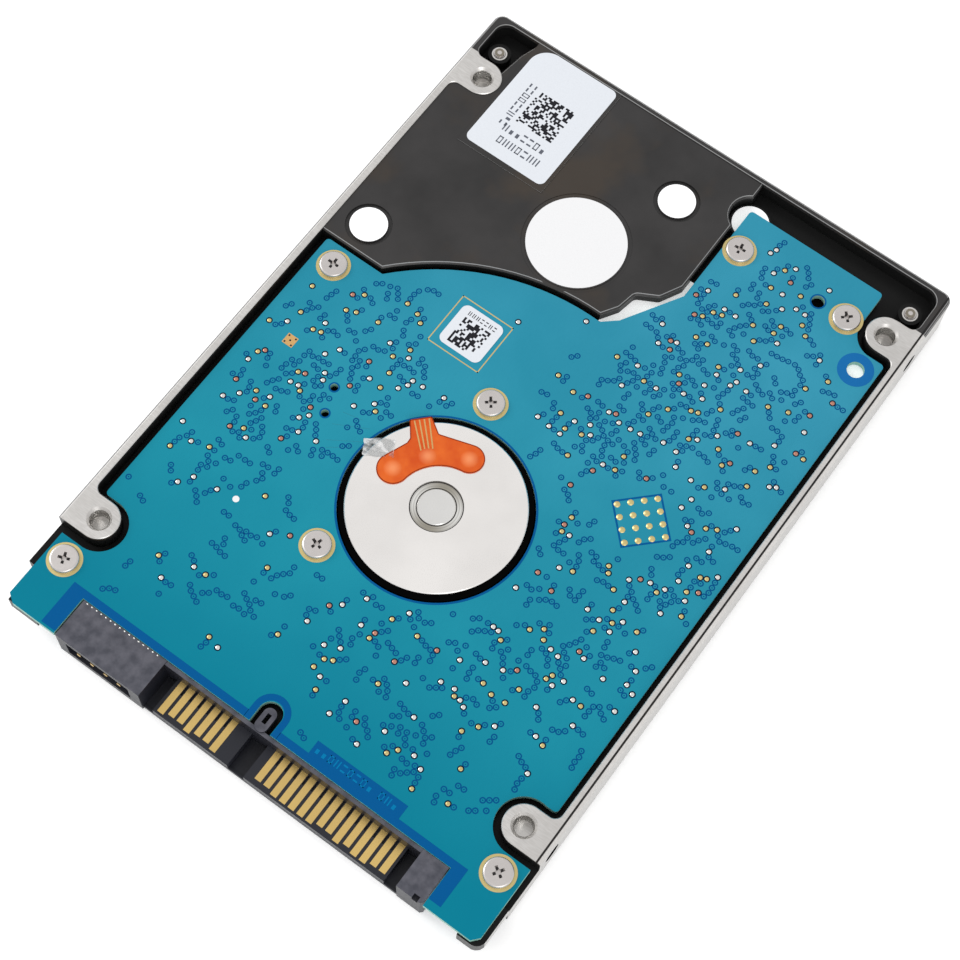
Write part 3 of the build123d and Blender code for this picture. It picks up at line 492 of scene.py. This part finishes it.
# painted shade on the tips of the corner screws
SCREW_TIP_SHADE = satin_metal("screw_tip_shade", rgb(0.30, 0.27, 0.22), 0.36, 0.3 * MM)
TARNISH = satin_metal("tarnished_copper", rgb(0.62, 0.30, 0.22), 0.36, 0.3 * MM)
PLUG = plug_material()
CHIP = moulded("chip_package", rgb(0.022, 0.022, 0.024), 0.5)
NATURAL = moulded("natural_plastic", rgb(0.72, 0.66, 0.52), 0.42)
RUBBER = moulded("black_rubber", rgb(0.02, 0.02, 0.02), 0.62)
FELT = moulded("filter_felt", rgb(0.70, 0.70, 0.68), 0.85, 0.2 * MM, 0.03 * MM)
PAPER = foil_material("label_paper", rgb(0.75, 0.78, 0.83), 0.45, 0.008 * MM)
FOIL = foil_material("seal_foil", rgb(0.86, 0.86, 0.87), 0.42)
# the low seals glow a little: painted light that keeps them white in the shade of their recesses
LOW_FOIL = foil_material("low_seal_foil", rgb(0.93, 0.93, 0.94), 0.42, 0.006 * MM, strength=0.30)
ORANGE = film_material()
BLACK_INK = ink("black_ink", rgb(0.02, 0.02, 0.025))
GREY_INK = ink("grey_ink", rgb(0.13, 0.14, 0.17))
COVER_INK = ink("cover_band_ink", rgb(0.02, 0.14, 0.20))
BLUE_MASK = ink("deep_blue_mask", rgb(0.0, 0.098, 0.300), 0.4)
RING_BLUE = ink("via_ring_blue", rgb(0.0, 0.082, 0.250), 0.4)
NIGHT_INK = ink("night_ink", rgb(0.002, 0.016, 0.040), 0.5)
COLLAR = ink("tooling_collar_blue", rgb(0.010, 0.150, 0.420), 0.4)
SHADE = ink("recess_shade", rgb(0.030, 0.028, 0.028), 0.6)
TEAL_INK = ink("teal_ink", rgb(0.0, 0.190, 0.420), 0.4)
FLEX_EDGE = ink("dark_orange_edge", rgb(0.30, 0.035, 0.004), 0.4)
SCUFF = ink("scuffed_mask", rgb(0.03, 0.26, 0.35), 0.5)
TAPE = clear_film()


# ======== CAD nodes: their materials ========

def dress(material, *nodes):
    """Give CAD nodes a material."""
    for node in nodes:
        mesh = frame["nodes"][node].data
        mesh.materials.clear()
        mesh.materials.append(material)


dress(CASTING, "base_casting")
dress(COVER, "top_cover")
dress(SCREW, "cover_screws", "pivot_screw", "board_screws", "clamp_screws")
dress(STEEL, "pivot_races", "pivot_balls", "latch_pin", "pivot_post", "pivot_sleeve", "spindle_shaft")
dress(BEARING, "bearing_sleeve")
dress(DISC, "motor_bracket", "spindle_hub", "disk_clamp")
dress(CAP, "bearing_cap")
dress(ARM, "actuator_arm", "lower_suspension", "upper_suspension")
dress(NICKEL, "lower_yoke", "upper_yoke", "motor_magnets")
dress(PLATTER, "platter")
dress(MAGNET, "rotor_magnet", "stator_core")
dress(COPPER, "stator_coils", "voice_coil")
dress(BOARD, "circuit_board")
dress(CHIP, "controller_chip", "memory_chip", "motor_driver_chip", "flash_chip", "board_passives",
      "head_amplifier", "head_sliders")
dress(PLUG, "connector_housing", "head_connector")
dress(GOLD, "signal_contacts", "power_contacts", "jumper_pins")
dress(FOIL, "pivot_seal")
dress(LOW_FOIL, "port_seals", "connector_seal")
dress(PAPER, "serial_label", "board_label", "cover_label")
dress(ORANGE, "motor_flex", "head_flex")
dress(NATURAL, "coil_frame", "load_ramp", "latch_lever", "flex_bracket")
dress(RUBBER, "cover_gasket", "insulator", "crash_stops")
dress(FELT, "recirculation_filter", "breather_filter", "desiccant")


# ======== circuit board details ========

board_tree = BVHTree.FromObject(frame["nodes"]["circuit_board"], bpy.context.evaluated_depsgraph_get())
DOWN = Vector((0, 0, -1))


def on_board(x, y, margin):
    """True where the board's top face is whole within a margin of the point."""
    for px, py in [(x, y)] + circle_points((x, y), margin, 8):
        hit = board_tree.ray_cast(Vector((px, py, BOARD_TOP + MM)), DOWN)
        if hit[0] is None or hit[0].z < BOARD_TOP - 0.05 * MM:
            return False
    return True


SCREWS = [(-29.7, 7.5), (-2.85, 3.9), (-8.5, -23.2), (-31.05, -42.3), (31.6, -42.0), (9.7, 39.8),
          (25.6, 39.8)]
SCREW_TURN = 37  # degrees from one screw's recess to the next
RING_OUT, RING_IN, PAD_R = 0.385 * MM, 0.235 * MM, 0.27 * MM
GRID_CENTRE, GRID_STEP, GRID_SIZE = (20.45, 2.35), 1.17, 4
TOOLING_HOLE, WIDE_HOLE, SMALL_HOLES = (30.3, 34.6), (21.5, 39.75), [(-19.4, -5.7), (-18.2, -9.1)]
FIDUCIAL, AMBER_CENTRE = (-19.8, -24.3), (-27.6, -3.9)
LABEL_FRAME = (-14.3, -6.6, 6.3, 13.9)  # left, right, bottom, top
# places that vias and pads keep clear of, with the radius to keep
KEEP_OUT = [(SPINDLE[0] / MM, SPINDLE[1] / MM, 12.6), (*GRID_CENTRE, 4.4), (-10.4, 9.9, 5.4),
            (12.7, -42.7, 1.2), (*TOOLING_HOLE, 3.0), (*WIDE_HOLE, 1.5), (*AMBER_CENTRE, 2.0),
            (*FIDUCIAL, 1.2)]
KEEP_OUT += [(x, y, 1.1) for x, y in SMALL_HOLES]
KEEP_OUT += [(x, y, 2.9) for x, y in SCREWS]

draw = random.Random(41)
via_places, pad_places = [], []


def free_place(x, y, gap):
    """True where a via or pad fits on the board without touching another feature."""
    if any(math.hypot(x - kx, y - ky) < reach + gap for kx, ky, reach in KEEP_OUT):
        return False
    behind_marks = -44.0 < y < -41.2 and 5.0 < x < 20.0
    beside_plug = y < -40.4 and abs(x) < 30.0 and (abs(x) > 26.0 or y < -43.0 or abs(x) < 2.6)
    return not behind_marks and not beside_plug and on_board(x * MM, y * MM, 0.75 * MM)


def near(places, x, y, gap):
    return any(math.hypot(x - px, y - py) < gap for px, py, *_ in places)


def add_cluster(x, y):
    """One test pad or none, with a short chain of vias beside it."""
    turn = draw.choice((0.0, 0.9, 1.6, 2.4, 3.1, 3.9, 4.7, 5.5)) + draw.uniform(-0.2, 0.2)
    with_pad = draw.random() < 0.56
    if with_pad and free_place(x, y, 0.5) and not near(pad_places + via_places, x, y, 0.75):
        pad_places.append((x, y, draw.random()))
    for i in range(draw.choice((0, 1, 1, 1, 2, 3)) + (0 if with_pad else 1)):
        x, y = x + 0.76 * math.cos(turn), y + 0.76 * math.sin(turn)
        turn += draw.uniform(-0.5, 0.5)
        if free_place(x, y, 0.45) and not near(via_places + pad_places, x, y, 0.68):
            via_places.append((x, y))


# density of clusters: centre, spread in x and y, how many
FIELDS = [((12.5, 20.5), (5.0, 7.5), 190), ((9.5, 9.5), (4.0, 4.0), 60), ((24.5, 19.0), (4.5, 8.5), 95),
          ((-21.5, -6.5), (6.5, 7.5), 150), ((-25.0, -20.0), (4.0, 5.0), 44), ((-15.0, 4.5), (6.5, 3.5), 58),
          ((26.0, -12.0), (4.5, 7.5), 84), ((15.5, -8.0), (3.0, 5.0), 34), ((27.0, 2.0), (3.0, 4.5), 34),
          ((20.5, -26.0), (5.5, 5.0), 58), ((13.5, -37.5), (5.5, 2.2), 40), ((-2.0, -33.0), (6.5, 3.5), 26),
          ((-16.0, -35.0), (7.0, 3.5), 26), ((-16.0, -26.0), (6.0, 3.5), 22), ((5.0, -27.0), (5.5, 2.5), 26),
          ((18.0, 36.5), (5.5, 3.2), 30)]
for centre, spread, count in FIELDS:
    for _ in range(count):
        add_cluster(draw.gauss(centre[0], spread[0]), draw.gauss(centre[1], spread[1]))
for _ in range(44):
    add_cluster(draw.uniform(-31, 31), draw.uniform(-38, 44))

# a few straight rows of pads
PAD_ROWS = [(37.9, (13.6, 14.9, 16.1, 17.4)), (37.2, (19.9, 21.2, 22.4)), (41.9, (13.0, 16.8, 21.8))]
for y, row in PAD_ROWS:
    for x in row:
        if not near(pad_places + via_places, x, y, 0.7):
            pad_places.append((x, y, 0.3))


def ring_profile(inner, outer, z, rise):
    return [(inner, z), (inner, z + rise), (outer, z + rise), (outer, z)]


def make_vias():
    """Blue rings of the vias, with a dot in each, and dark rings round the pads."""
    bm = bmesh.new()
    for x, y in via_places:
        add_lathe(bm, (x * MM, y * MM), ring_profile(RING_IN, RING_OUT, BOARD_TOP, FILM), 14, closed=True)
    from_bmesh("via_rings", bm, RING_BLUE)
    bm = bmesh.new()
    for x, y in via_places:
        dot = [(0.09 * MM, BOARD_TOP), (0.09 * MM, BOARD_TOP + FILM), (0, BOARD_TOP + FILM)]
        add_lathe(bm, (x * MM, y * MM), dot, 8)
    from_bmesh("via_cores", bm, RING_BLUE)
    bm = bmesh.new()
    for x, y, _ in pad_places:
        add_lathe(bm, (x * MM, y * MM), ring_profile(PAD_R, 0.42 * MM, BOARD_TOP, FILM), 14, closed=True)
    from_bmesh("pad_rings", bm, NIGHT_INK)


def make_test_pads():
    """Small solder pads in three tones."""
    dome = [(PAD_R, BOARD_TOP), (0.93 * PAD_R, BOARD_TOP + 0.02 * MM), (0.5 * PAD_R, BOARD_TOP + 0.035 * MM),
            (0, BOARD_TOP + 0.04 * MM)]
    tones = {"test_pads_bright": (SOLDER, 0.0, 0.48), "test_pads_gold": (PALE_GOLD, 0.48, 0.86),
             "test_pads_copper": (TARNISH, 0.86, 1.01)}
    for name, (material, start, stop) in tones.items():
        bm = bmesh.new()
        for x, y, tone in pad_places:
            if start <= tone < stop:
                add_lathe(bm, (x * MM, y * MM), dome, 14)
        from_bmesh(name, bm, material, smooth=True)


def make_screw_lands():
    """Bare gold rings under the board screws, and shade in the ends of their cross recesses."""
    bm = bmesh.new()
    for x, y in SCREWS:
        add_lathe(bm, (x * MM, y * MM), ring_profile(1.2 * MM, 2.18 * MM, BOARD_TOP, FILM), 48, closed=True)
    from_bmesh("screw_lands", bm, PALE_GOLD)
    recess, mouth, reach = BOARD_TOP + 0.21 * MM, BOARD_TOP + 0.56 * MM, 0.165 * MM
    bm = bmesh.new()
    for i, (x, y) in enumerate(SCREWS):
        for place in circle_points((x, y), 0.48, 4, math.radians(SCREW_TURN * i)):
            add_lathe(bm, (place[0] * MM, place[1] * MM), [(reach, recess), (reach, mouth), (0, mouth)], 12)
    from_bmesh("recess_shades", bm, SHADE)


def make_pad_grid():
    """Slanted square of test pads with its printed frame."""
    bm = bmesh.new()
    middle = (GRID_SIZE - 1) / 2
    for i in range(GRID_SIZE):
        for j in range(GRID_SIZE):
            x = GRID_CENTRE[0] + GRID_STEP * (i - middle + j - middle)
            y = GRID_CENTRE[1] + GRID_STEP * (i - middle - j + middle)
            add_lathe(bm, (x * MM, y * MM), [(0.40 * MM, BOARD_TOP), (0.38 * MM, BOARD_TOP + 0.03 * MM),
                                             (0, BOARD_TOP + 0.05 * MM)], 18)
    from_bmesh("grid_pads", bm, PALE_GOLD, smooth=True)
    bm = bmesh.new()
    centre = tuple(v * MM for v in GRID_CENTRE)
    outer, inner = 4.35 * MM, 4.02 * MM
    corners_out, corners_in = circle_points(centre, outer, 4), circle_points(centre, inner, 4)
    for i in range(4):
        j = (i + 1) % 4
        points = [corners_out[i], corners_out[j], corners_in[j], corners_in[i]]
        add_prism(bm, points, BOARD_TOP, BOARD_TOP + FILM)
    from_bmesh("grid_frame", bm, BLUE_MASK)


def add_bar(bm, x0, x1, y0, y1, z, rise=FILM):
    """Flat printed rectangle, in millimetres."""
    add_prism(bm, box_points(x0 * MM, x1 * MM, y0 * MM, y1 * MM), z, z + rise)


def add_marks(bm, x, y, along, size, count, z, seed, turn=0.0):
    """A row of plain block marks that stands in for a line of print."""
    pick = random.Random(seed)
    for i in range(count):
        cx = x + along[0] * i
        cy = y + along[1] * i
        w, h = size
        kind = pick.choice(("frame", "bars", "block", "posts"))
        parts = {
            "frame": [(-w, w, h - 0.3 * h, h), (-w, w, -h, -0.7 * h), (-w, -0.6 * w, -h, h),
                      (0.6 * w, w, -h, h)],
            "bars": [(-w, w, 0.55 * h, h), (-w, w, -h, -0.55 * h)],
            "block": [(-0.7 * w, 0.7 * w, -h, 0.2 * h)],
            "posts": [(-w, -0.45 * w, -h, h), (0.45 * w, w, -h, h)]}[kind]
        for x0, x1, y0, y1 in parts:
            points = turned(box_points(x0, x1, y0, y1), (0, 0), turn)
            add_prism(bm, [((px + cx) * MM, (py + cy) * MM) for px, py in points], z, z + FILM)


def make_board_print():
    """Deep blue mask round the plug and behind a row of block marks."""
    bm = bmesh.new()
    for x0, x1, y0, y1 in [(-28.3, -26.25, -49.7, -43.7), (-26.25, -2.4, -44.65, -43.7),
                           (2.2, 27.05, -44.65, -43.7), (27.05, 28.7, -48.9, -43.7),
                           (6.2, 19.0, -43.7, -41.9)]:
        add_bar(bm, x0, x1, y0, y1, BOARD_TOP)
    # the band follows the notch round the post
    centre, inner, outer, steps = (-0.1, -42.6), 1.55, 2.35, 18
    arc = [math.pi * i / steps for i in range(steps + 1)]
    for a, b in zip(arc, arc[1:]):
        points = [(inner, a), (outer, a), (outer, b), (inner, b)]
        add_prism(bm, [((centre[0] + r * math.cos(t)) * MM, (centre[1] + r * math.sin(t)) * MM)
                       for r, t in points], BOARD_TOP, BOARD_TOP + FILM)
    for side in (-1, 1):
        ends = sorted((centre[0] + side * inner, centre[0] + side * outer))
        add_bar(bm, *ends, -44.65, centre[1], BOARD_TOP)
    from_bmesh("board_print", bm, BLUE_MASK)
    bm = bmesh.new()
    add_marks(bm, 6.9, -42.8, (0.92, 0.0), (0.30, 0.48), 9, BOARD_TOP + FILM, 5)
    add_marks(bm, 15.9, -42.8, (0.92, 0.0), (0.30, 0.48), 3, BOARD_TOP + FILM, 6)
    from_bmesh("board_print_marks", bm, TEAL_INK)
    bm = bmesh.new()
    block_top = BOARD_TOP - 0.1 * MM
    dot = [(0.11 * MM, block_top), (0.08 * MM, block_top + 0.04 * MM), (0, block_top + 0.05 * MM)]
    for i in range(16):
        add_lathe(bm, ((-25.4 + 0.7 * i) * MM, -44.9 * MM), dot, 10)
    from_bmesh("block_dots", bm, SOLDER, smooth=True)


def add_square(bm, x, y, half, z):
    """Flat printed square about a point, in millimetres."""
    add_bar(bm, x - half, x + half, y - half, y + half, z)


def make_small_marks():
    """Fiducial, amber square, label frame, rings round holes and the tooling hole's collar."""
    bm = bmesh.new()
    spot = 0.42 * MM
    add_lathe(bm, (FIDUCIAL[0] * MM, FIDUCIAL[1] * MM), [(spot, BOARD_TOP), (spot, BOARD_TOP + FILM),
                                                         (0, BOARD_TOP + FILM)], 24)
    from_bmesh("fiducial", bm, FOIL)
    bm = bmesh.new()
    add_square(bm, *AMBER_CENTRE, 0.75, BOARD_TOP)
    from_bmesh("amber_square", bm, AMBER)
    bm = bmesh.new()
    for dx, dy in [(-0.5, -0.5), (0.5, -0.5), (-0.5, 0.5), (0.5, 0.5), (0, 0)]:
        add_square(bm, AMBER_CENTRE[0] + dx, AMBER_CENTRE[1] + dy, 0.11, BOARD_TOP + FILM)
    from_bmesh("amber_square_dots", bm, NIGHT_INK)
    bm = bmesh.new()
    left, right, bottom, top = LABEL_FRAME
    line = 0.15
    add_bar(bm, left, right, top - line, top, BOARD_TOP)
    add_bar(bm, left, right, bottom, bottom + line, BOARD_TOP)
    add_bar(bm, left, left + line, bottom, top, BOARD_TOP)
    add_bar(bm, right - line, right, bottom, top, BOARD_TOP)
    from_bmesh("gold_marks", bm, PALE_GOLD)
    bm = bmesh.new()
    tooling = (TOOLING_HOLE[0] * MM, TOOLING_HOLE[1] * MM)
    add_lathe(bm, tooling, ring_profile(1.12 * MM, 2.3 * MM, BOARD_TOP, FILM), 40, closed=True)
    from_bmesh("tooling_collar", bm, COLLAR)
    bm = bmesh.new()
    for x, y, r in [(*WIDE_HOLE, 0.85)] + [(*place, 0.5) for place in SMALL_HOLES]:
        collar = ring_profile(r * MM, (r + 0.2) * MM, BOARD_TOP, FILM)
        add_lathe(bm, (x * MM, y * MM), collar, 28, closed=True)
    add_lathe(bm, SPINDLE[:2], ring_profile(11.9 * MM, 12.15 * MM, BOARD_TOP, FILM), 120, closed=True)
    from_bmesh("hole_rings", bm, BLUE_MASK)
    # white disc under the tooling hole: it glows a little, painted light that keeps it white in the shade of the
    # hole
    bm = bmesh.new()
    under, over = BOARD_TOP - 0.95 * MM, BOARD_TOP - 0.90 * MM
    add_lathe(bm, tooling, [(1.7 * MM, under), (1.7 * MM, over), (0, over)], 32)
    from_bmesh("tooling_hole_backing", bm, LOW_FOIL)


def make_tape():
    """Scrap of crumpled tape from the board to the motor, and the scuffs beside it."""
    pick = random.Random(17)
    centre, turn, size, cells, thick = (-10.1, -9.0), math.radians(31), (3.8, 2.4), (10, 7), 0.03
    level = (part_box("motor_bracket")[1][2] - BOARD_TOP) / MM
    bm = bmesh.new()
    rows = []
    for i in range(cells[0] + 1):
        row = []
        for j in range(cells[1] + 1):
            u, v = (i / cells[0] - 0.5) * size[0], (j / cells[1] - 0.5) * size[1]
            u += pick.uniform(-0.07, 0.07)
            v += pick.uniform(-0.07, 0.07)
            x = centre[0] + u * math.cos(turn) - v * math.sin(turn)
            y = centre[1] + u * math.sin(turn) + v * math.cos(turn)
            away = math.hypot(x - SPINDLE[0] / MM, y - SPINDLE[1] / MM)
            climb = min(max((12.3 - away) / 1.1, 0.0), 1.0)
            z = 0.02 + level * climb + pick.uniform(0.0, 0.10)
            spot = (x * MM, y * MM, BOARD_TOP + z * MM)
            row.append((bm.verts.new(spot), bm.verts.new((spot[0], spot[1], spot[2] + thick * MM))))
        rows.append(row)
    for a, b in zip(rows, rows[1:]):
        for j in range(cells[1]):
            for layer in (0, 1):
                bm.faces.new((a[j][layer], b[j][layer], b[j + 1][layer], a[j + 1][layer]))
    rim = [rows[0][j] for j in range(cells[1] + 1)] + [row[-1] for row in rows[1:]]
    rim += [rows[-1][j] for j in range(cells[1] - 1, -1, -1)] + [row[0] for row in rows[-2:0:-1]]
    for a, b in zip(rim, rim[1:] + rim[:1]):
        bm.faces.new((a[0], b[0], b[1], a[1]))
    from_bmesh("clear_tape", bm, TAPE)
    bm = bmesh.new()
    for x, y, length, angle in [(-14.6, -8.6, 4.6, 28), (-13.8, -10.4, 5.2, 33), (-15.3, -7.4, 2.6, 12),
                                (-14.0, -11.6, 3.4, 36)]:
        along = math.radians(angle)
        points = turned(box_points(x - length / 2, x + length / 2, y - 0.035, y + 0.035), (x, y), along)
        add_prism(bm, [(px * MM, py * MM) for px, py in points], BOARD_TOP, BOARD_TOP + FILM / 2)
    from_bmesh("board_scuffs", bm, SCUFF)


make_vias()
make_test_pads()
make_screw_lands()
make_pad_grid()
make_board_print()
make_small_marks()
make_tape()


# ======== prints on the labels ========

def add_matrix(bm, x0, y0, side, cells, z, seed):
    """Square field of random ink cells, which says nothing."""
    pick = random.Random(seed)
    step = side / cells
    for i in range(cells):
        for j in range(cells):
            if pick.random() < 0.52:
                add_bar(bm, x0 + i * step, x0 + (i + 1) * step, y0 + j * step, y0 + (j + 1) * step, z)


def make_label_prints():
    """Random matrices and block marks on the two labels of the board side."""
    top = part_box("serial_label")[1][2]
    bm = bmesh.new()
    add_matrix(bm, -23.6, 37.8, 5.5, 20, top, 3)
    from_bmesh("serial_label_matrix", bm, BLACK_INK)
    bm = bmesh.new()
    add_marks(bm, -24.75, 36.6, (0.0, 0.84), (0.28, 0.50), 9, top, 8, math.pi / 2)
    add_marks(bm, -24.0, 36.25, (0.95, 0.0), (0.31, 0.54), 7, top, 9)
    add_marks(bm, -23.6, 34.35, (0.95, 0.0), (0.31, 0.54), 7, top, 10)
    from_bmesh("serial_label_marks", bm, GREY_INK)
    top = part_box("board_label")[1][2]
    bm = bmesh.new()
    add_matrix(bm, -12.3, 7.7, 3.9, 14, top, 4)
    add_marks(bm, -12.1, 12.3, (0.62, 0.0), (0.18, 0.30), 7, top, 11)
    from_bmesh("board_label_print", bm, BLACK_INK)


def make_cover_print():
    """Plain band, frames, block marks and random bars on the cover's label, which faces down."""
    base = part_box("cover_label")[0][2] - FILM
    bm = bmesh.new()
    add_bar(bm, -24.6, 24.6, -34.6, -27.0, base)
    from_bmesh("cover_label_band", bm, COVER_INK)
    bm = bmesh.new()
    for row in range(7):
        add_marks(bm, -22.0, -22.5 + 2.4 * row, (1.25, 0.0), (0.36, 0.5), 9 + (5 * row) % 7, base, 20 + row)
    pick = random.Random(30)
    x = -4.0
    while x < 21.0:
        width = pick.choice((0.18, 0.32, 0.5))
        add_bar(bm, x, x + width, -24.0, -20.0, base)
        x += width + pick.choice((0.2, 0.34, 0.5))
    add_matrix(bm, 12.5, -15.5, 8.0, 18, base, 31)
    for x0, x1, y0, y1 in [(-23.5, 23.5, 2.6, 2.8), (-23.5, 23.5, 26.8, 27.0), (-23.5, -23.3, 2.6, 27.0),
                           (23.3, 23.5, 2.6, 27.0)]:
        add_bar(bm, x0, x1, y0, y1, base)
    for row in range(5):
        add_marks(bm, 0.5, 22.0 - 3.6 * row, (1.3, 0.0), (0.36, 0.5), 15 - (3 * row) % 5, base, 40 + row)
    from_bmesh("cover_label_print", bm, BLACK_INK)


make_cover_print()
make_label_prints()


# ======== motor flex and bearing cap ========

def make_flex_details():
    """Domes, traces and outline of the motor flex, and the rings round the bearing cap."""
    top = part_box("motor_flex")[1][2]
    bm = bmesh.new()
    for place in FLEX_DOMES:
        centre = around_spindle(*place)
        dome = [(1.15 * MM * math.cos(t * math.pi / 12), top + 0.09 * MM * math.sin(t * math.pi / 12) ** 2)
                for t in range(6)]
        add_lathe(bm, centre, dome + [(0, top + 0.09 * MM)], 28)
    from_bmesh("flex_bumps", bm, ORANGE, smooth=True)
    bm = bmesh.new()
    for offset in (-0.9, -0.3, 0.3, 0.9):
        points = []
        for reach in (7.4, 11.4):
            turn = math.radians(135.5)
            across = turn + math.pi / 2
            for half in (-0.09, 0.09):
                o = (offset * (0.8 + 0.2 * (reach - 7.4) / 4) + half) * MM
                points.append((SPINDLE[0] + reach * MM * math.cos(turn) + o * math.cos(across),
                               SPINDLE[1] + reach * MM * math.sin(turn) + o * math.sin(across)))
        add_prism(bm, [points[0], points[1], points[3], points[2]], top, top + 0.02 * MM)
    from_bmesh("flex_traces", bm, AMBER)
    # dark line just inside the film's outline
    film = bmesh.new()
    film.from_mesh(frame["nodes"]["motor_flex"].data)
    bmesh.ops.remove_doubles(film, verts=film.verts, dist=0.001 * MM)
    face_up = {f for f in film.faces if f.normal.z > 0.9 and f.calc_center_median().z > top - 0.01 * MM}
    bm = bmesh.new()
    for edge in film.edges:
        beside = [f for f in edge.link_faces if f in face_up]
        if len(beside) == 1:
            a, b = (v.co for v in edge.verts)
            along = (b - a).normalized()
            inward = beside[0].calc_center_median() - a
            inward = (inward - along * inward.dot(along)).normalized() * 0.13 * MM
            add_prism(bm, [(v.x, v.y) for v in (a, b, b + inward, a + inward)], top, top + FILM)
    film.free()
    from_bmesh("flex_edge", bm, FLEX_EDGE)
    # dark rings in the groove round the bearing cap
    bm = bmesh.new()
    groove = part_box("bearing_sleeve")[1][2]
    for inner, outer in [(2.36, 2.47), (3.15, 3.28)]:
        add_lathe(bm, SPINDLE[:2], ring_profile(inner * MM, outer * MM, groove, FILM), 64, closed=True)
    from_bmesh("bearing_shade_rings", bm, SHADE)


make_flex_details()


# ======== tips of the two corner screws ========

def make_screw_tips():
    """Dark ring of painted shade round the bright centre of each screw tip that shows in a far corner."""
    bm = bmesh.new()
    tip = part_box("cover_screws")[1][2]
    for side in (-1, 1):
        place = (side * CORNER_BOSS[0] * MM, CORNER_BOSS[1] * MM)
        add_lathe(bm, place, ring_profile(0.30 * MM, 0.62 * MM, tip, FILM), 32, closed=True)
    from_bmesh("screw_tip_shade_rings", bm, SCREW_TIP_SHADE)


make_screw_tips()


# ======== threads in the mounting holes ========

def make_threads():
    """Thread crests inside the four mounting holes."""
    bm = bmesh.new()
    pitch, wall, tip = 0.5 * MM, 1.25 * MM, 1.12 * MM
    top, bottom = MOUNTING_FACE - 0.4 * MM, MOUNTING_FACE - 2.9 * MM
    for x in (-HOLE_X, HOLE_X):
        for y in HOLE_Y:
            z = top
            while z - pitch > bottom:
                crest = [(wall, z), (tip, z - pitch * 0.45), (wall, z - pitch * 0.9)]
                add_lathe(bm, (x, y), crest, 32)
                z -= pitch
    from_bmesh("hole_threads", bm, STEEL, smooth=True)


make_threads()


# ======== floor, light and camera ========

def make_stage():
    """Pale floor under the object and an even white surround."""
    mesh = bpy.data.meshes.new("floor")
    size, depth = 3.0, cad_box[0][2] - 0.05 * MM
    mesh.from_pydata([(x, y, depth) for x, y in box_points(-size, size, -size, size)], [], [(0, 1, 2, 3)])
    floor = bpy.data.objects.new("floor", mesh)
    bpy.context.scene.collection.objects.link(floor)
    s = Shader("pale_floor")
    s.colour(s.mix(s.noise(0.4, detail=1.0), rgb(0.93, 0.93, 0.93), rgb(0.96, 0.96, 0.96)))
    s.rough(0.9)
    s.specular(0.1)
    s.glow(0.3)
    mesh.materials.append(s.material)

    world = bpy.data.worlds.new("studio")
    world.use_nodes = True
    background = world.node_tree.nodes["Background"]
    background.inputs["Color"].default_value = rgb(1.0, 1.0, 1.0)
    background.inputs["Strength"].default_value = 0.80
    bpy.context.scene.world = world


def make_light(name, place, size, power):
    """Round soft lamp that points at the middle of the object."""
    lamp = bpy.data.lights.new(name, "AREA")
    lamp.shape = "DISK"
    lamp.size = size
    lamp.energy = power
    holder = bpy.data.objects.new(name, lamp)
    bpy.context.scene.collection.objects.link(holder)
    holder.location = place
    holder.rotation_euler = (-Vector(place)).to_track_quat("-Z", "Y").to_euler()


def make_camera():
    """The lens and the axes of the view: right, up and back."""
    camera = bpy.data.cameras.new("camera")
    camera.lens = 82.16
    camera.sensor_width = 36.0
    camera.clip_start = 0.01
    holder = bpy.data.objects.new("camera", camera)
    bpy.context.scene.collection.objects.link(holder)
    right = Vector((0.80710, 0.58974, 0.02831))
    back = Vector((0.20575, -0.32587, 0.92275))
    up = back.cross(right)
    turn = Matrix((right, up, back)).transposed().to_4x4()
    holder.matrix_world = Matrix.Translation((0.05594, -0.09038, 0.24817)) @ turn
    bpy.context.scene.camera = holder


make_stage()
make_light("key", (-0.85, -0.10, 0.55), 0.5, 4.0)
make_light("fill", (0.6, -0.5, 0.6), 0.6, 2.0)
make_camera()
bpy.context.scene.view_settings.view_transform = "Standard"
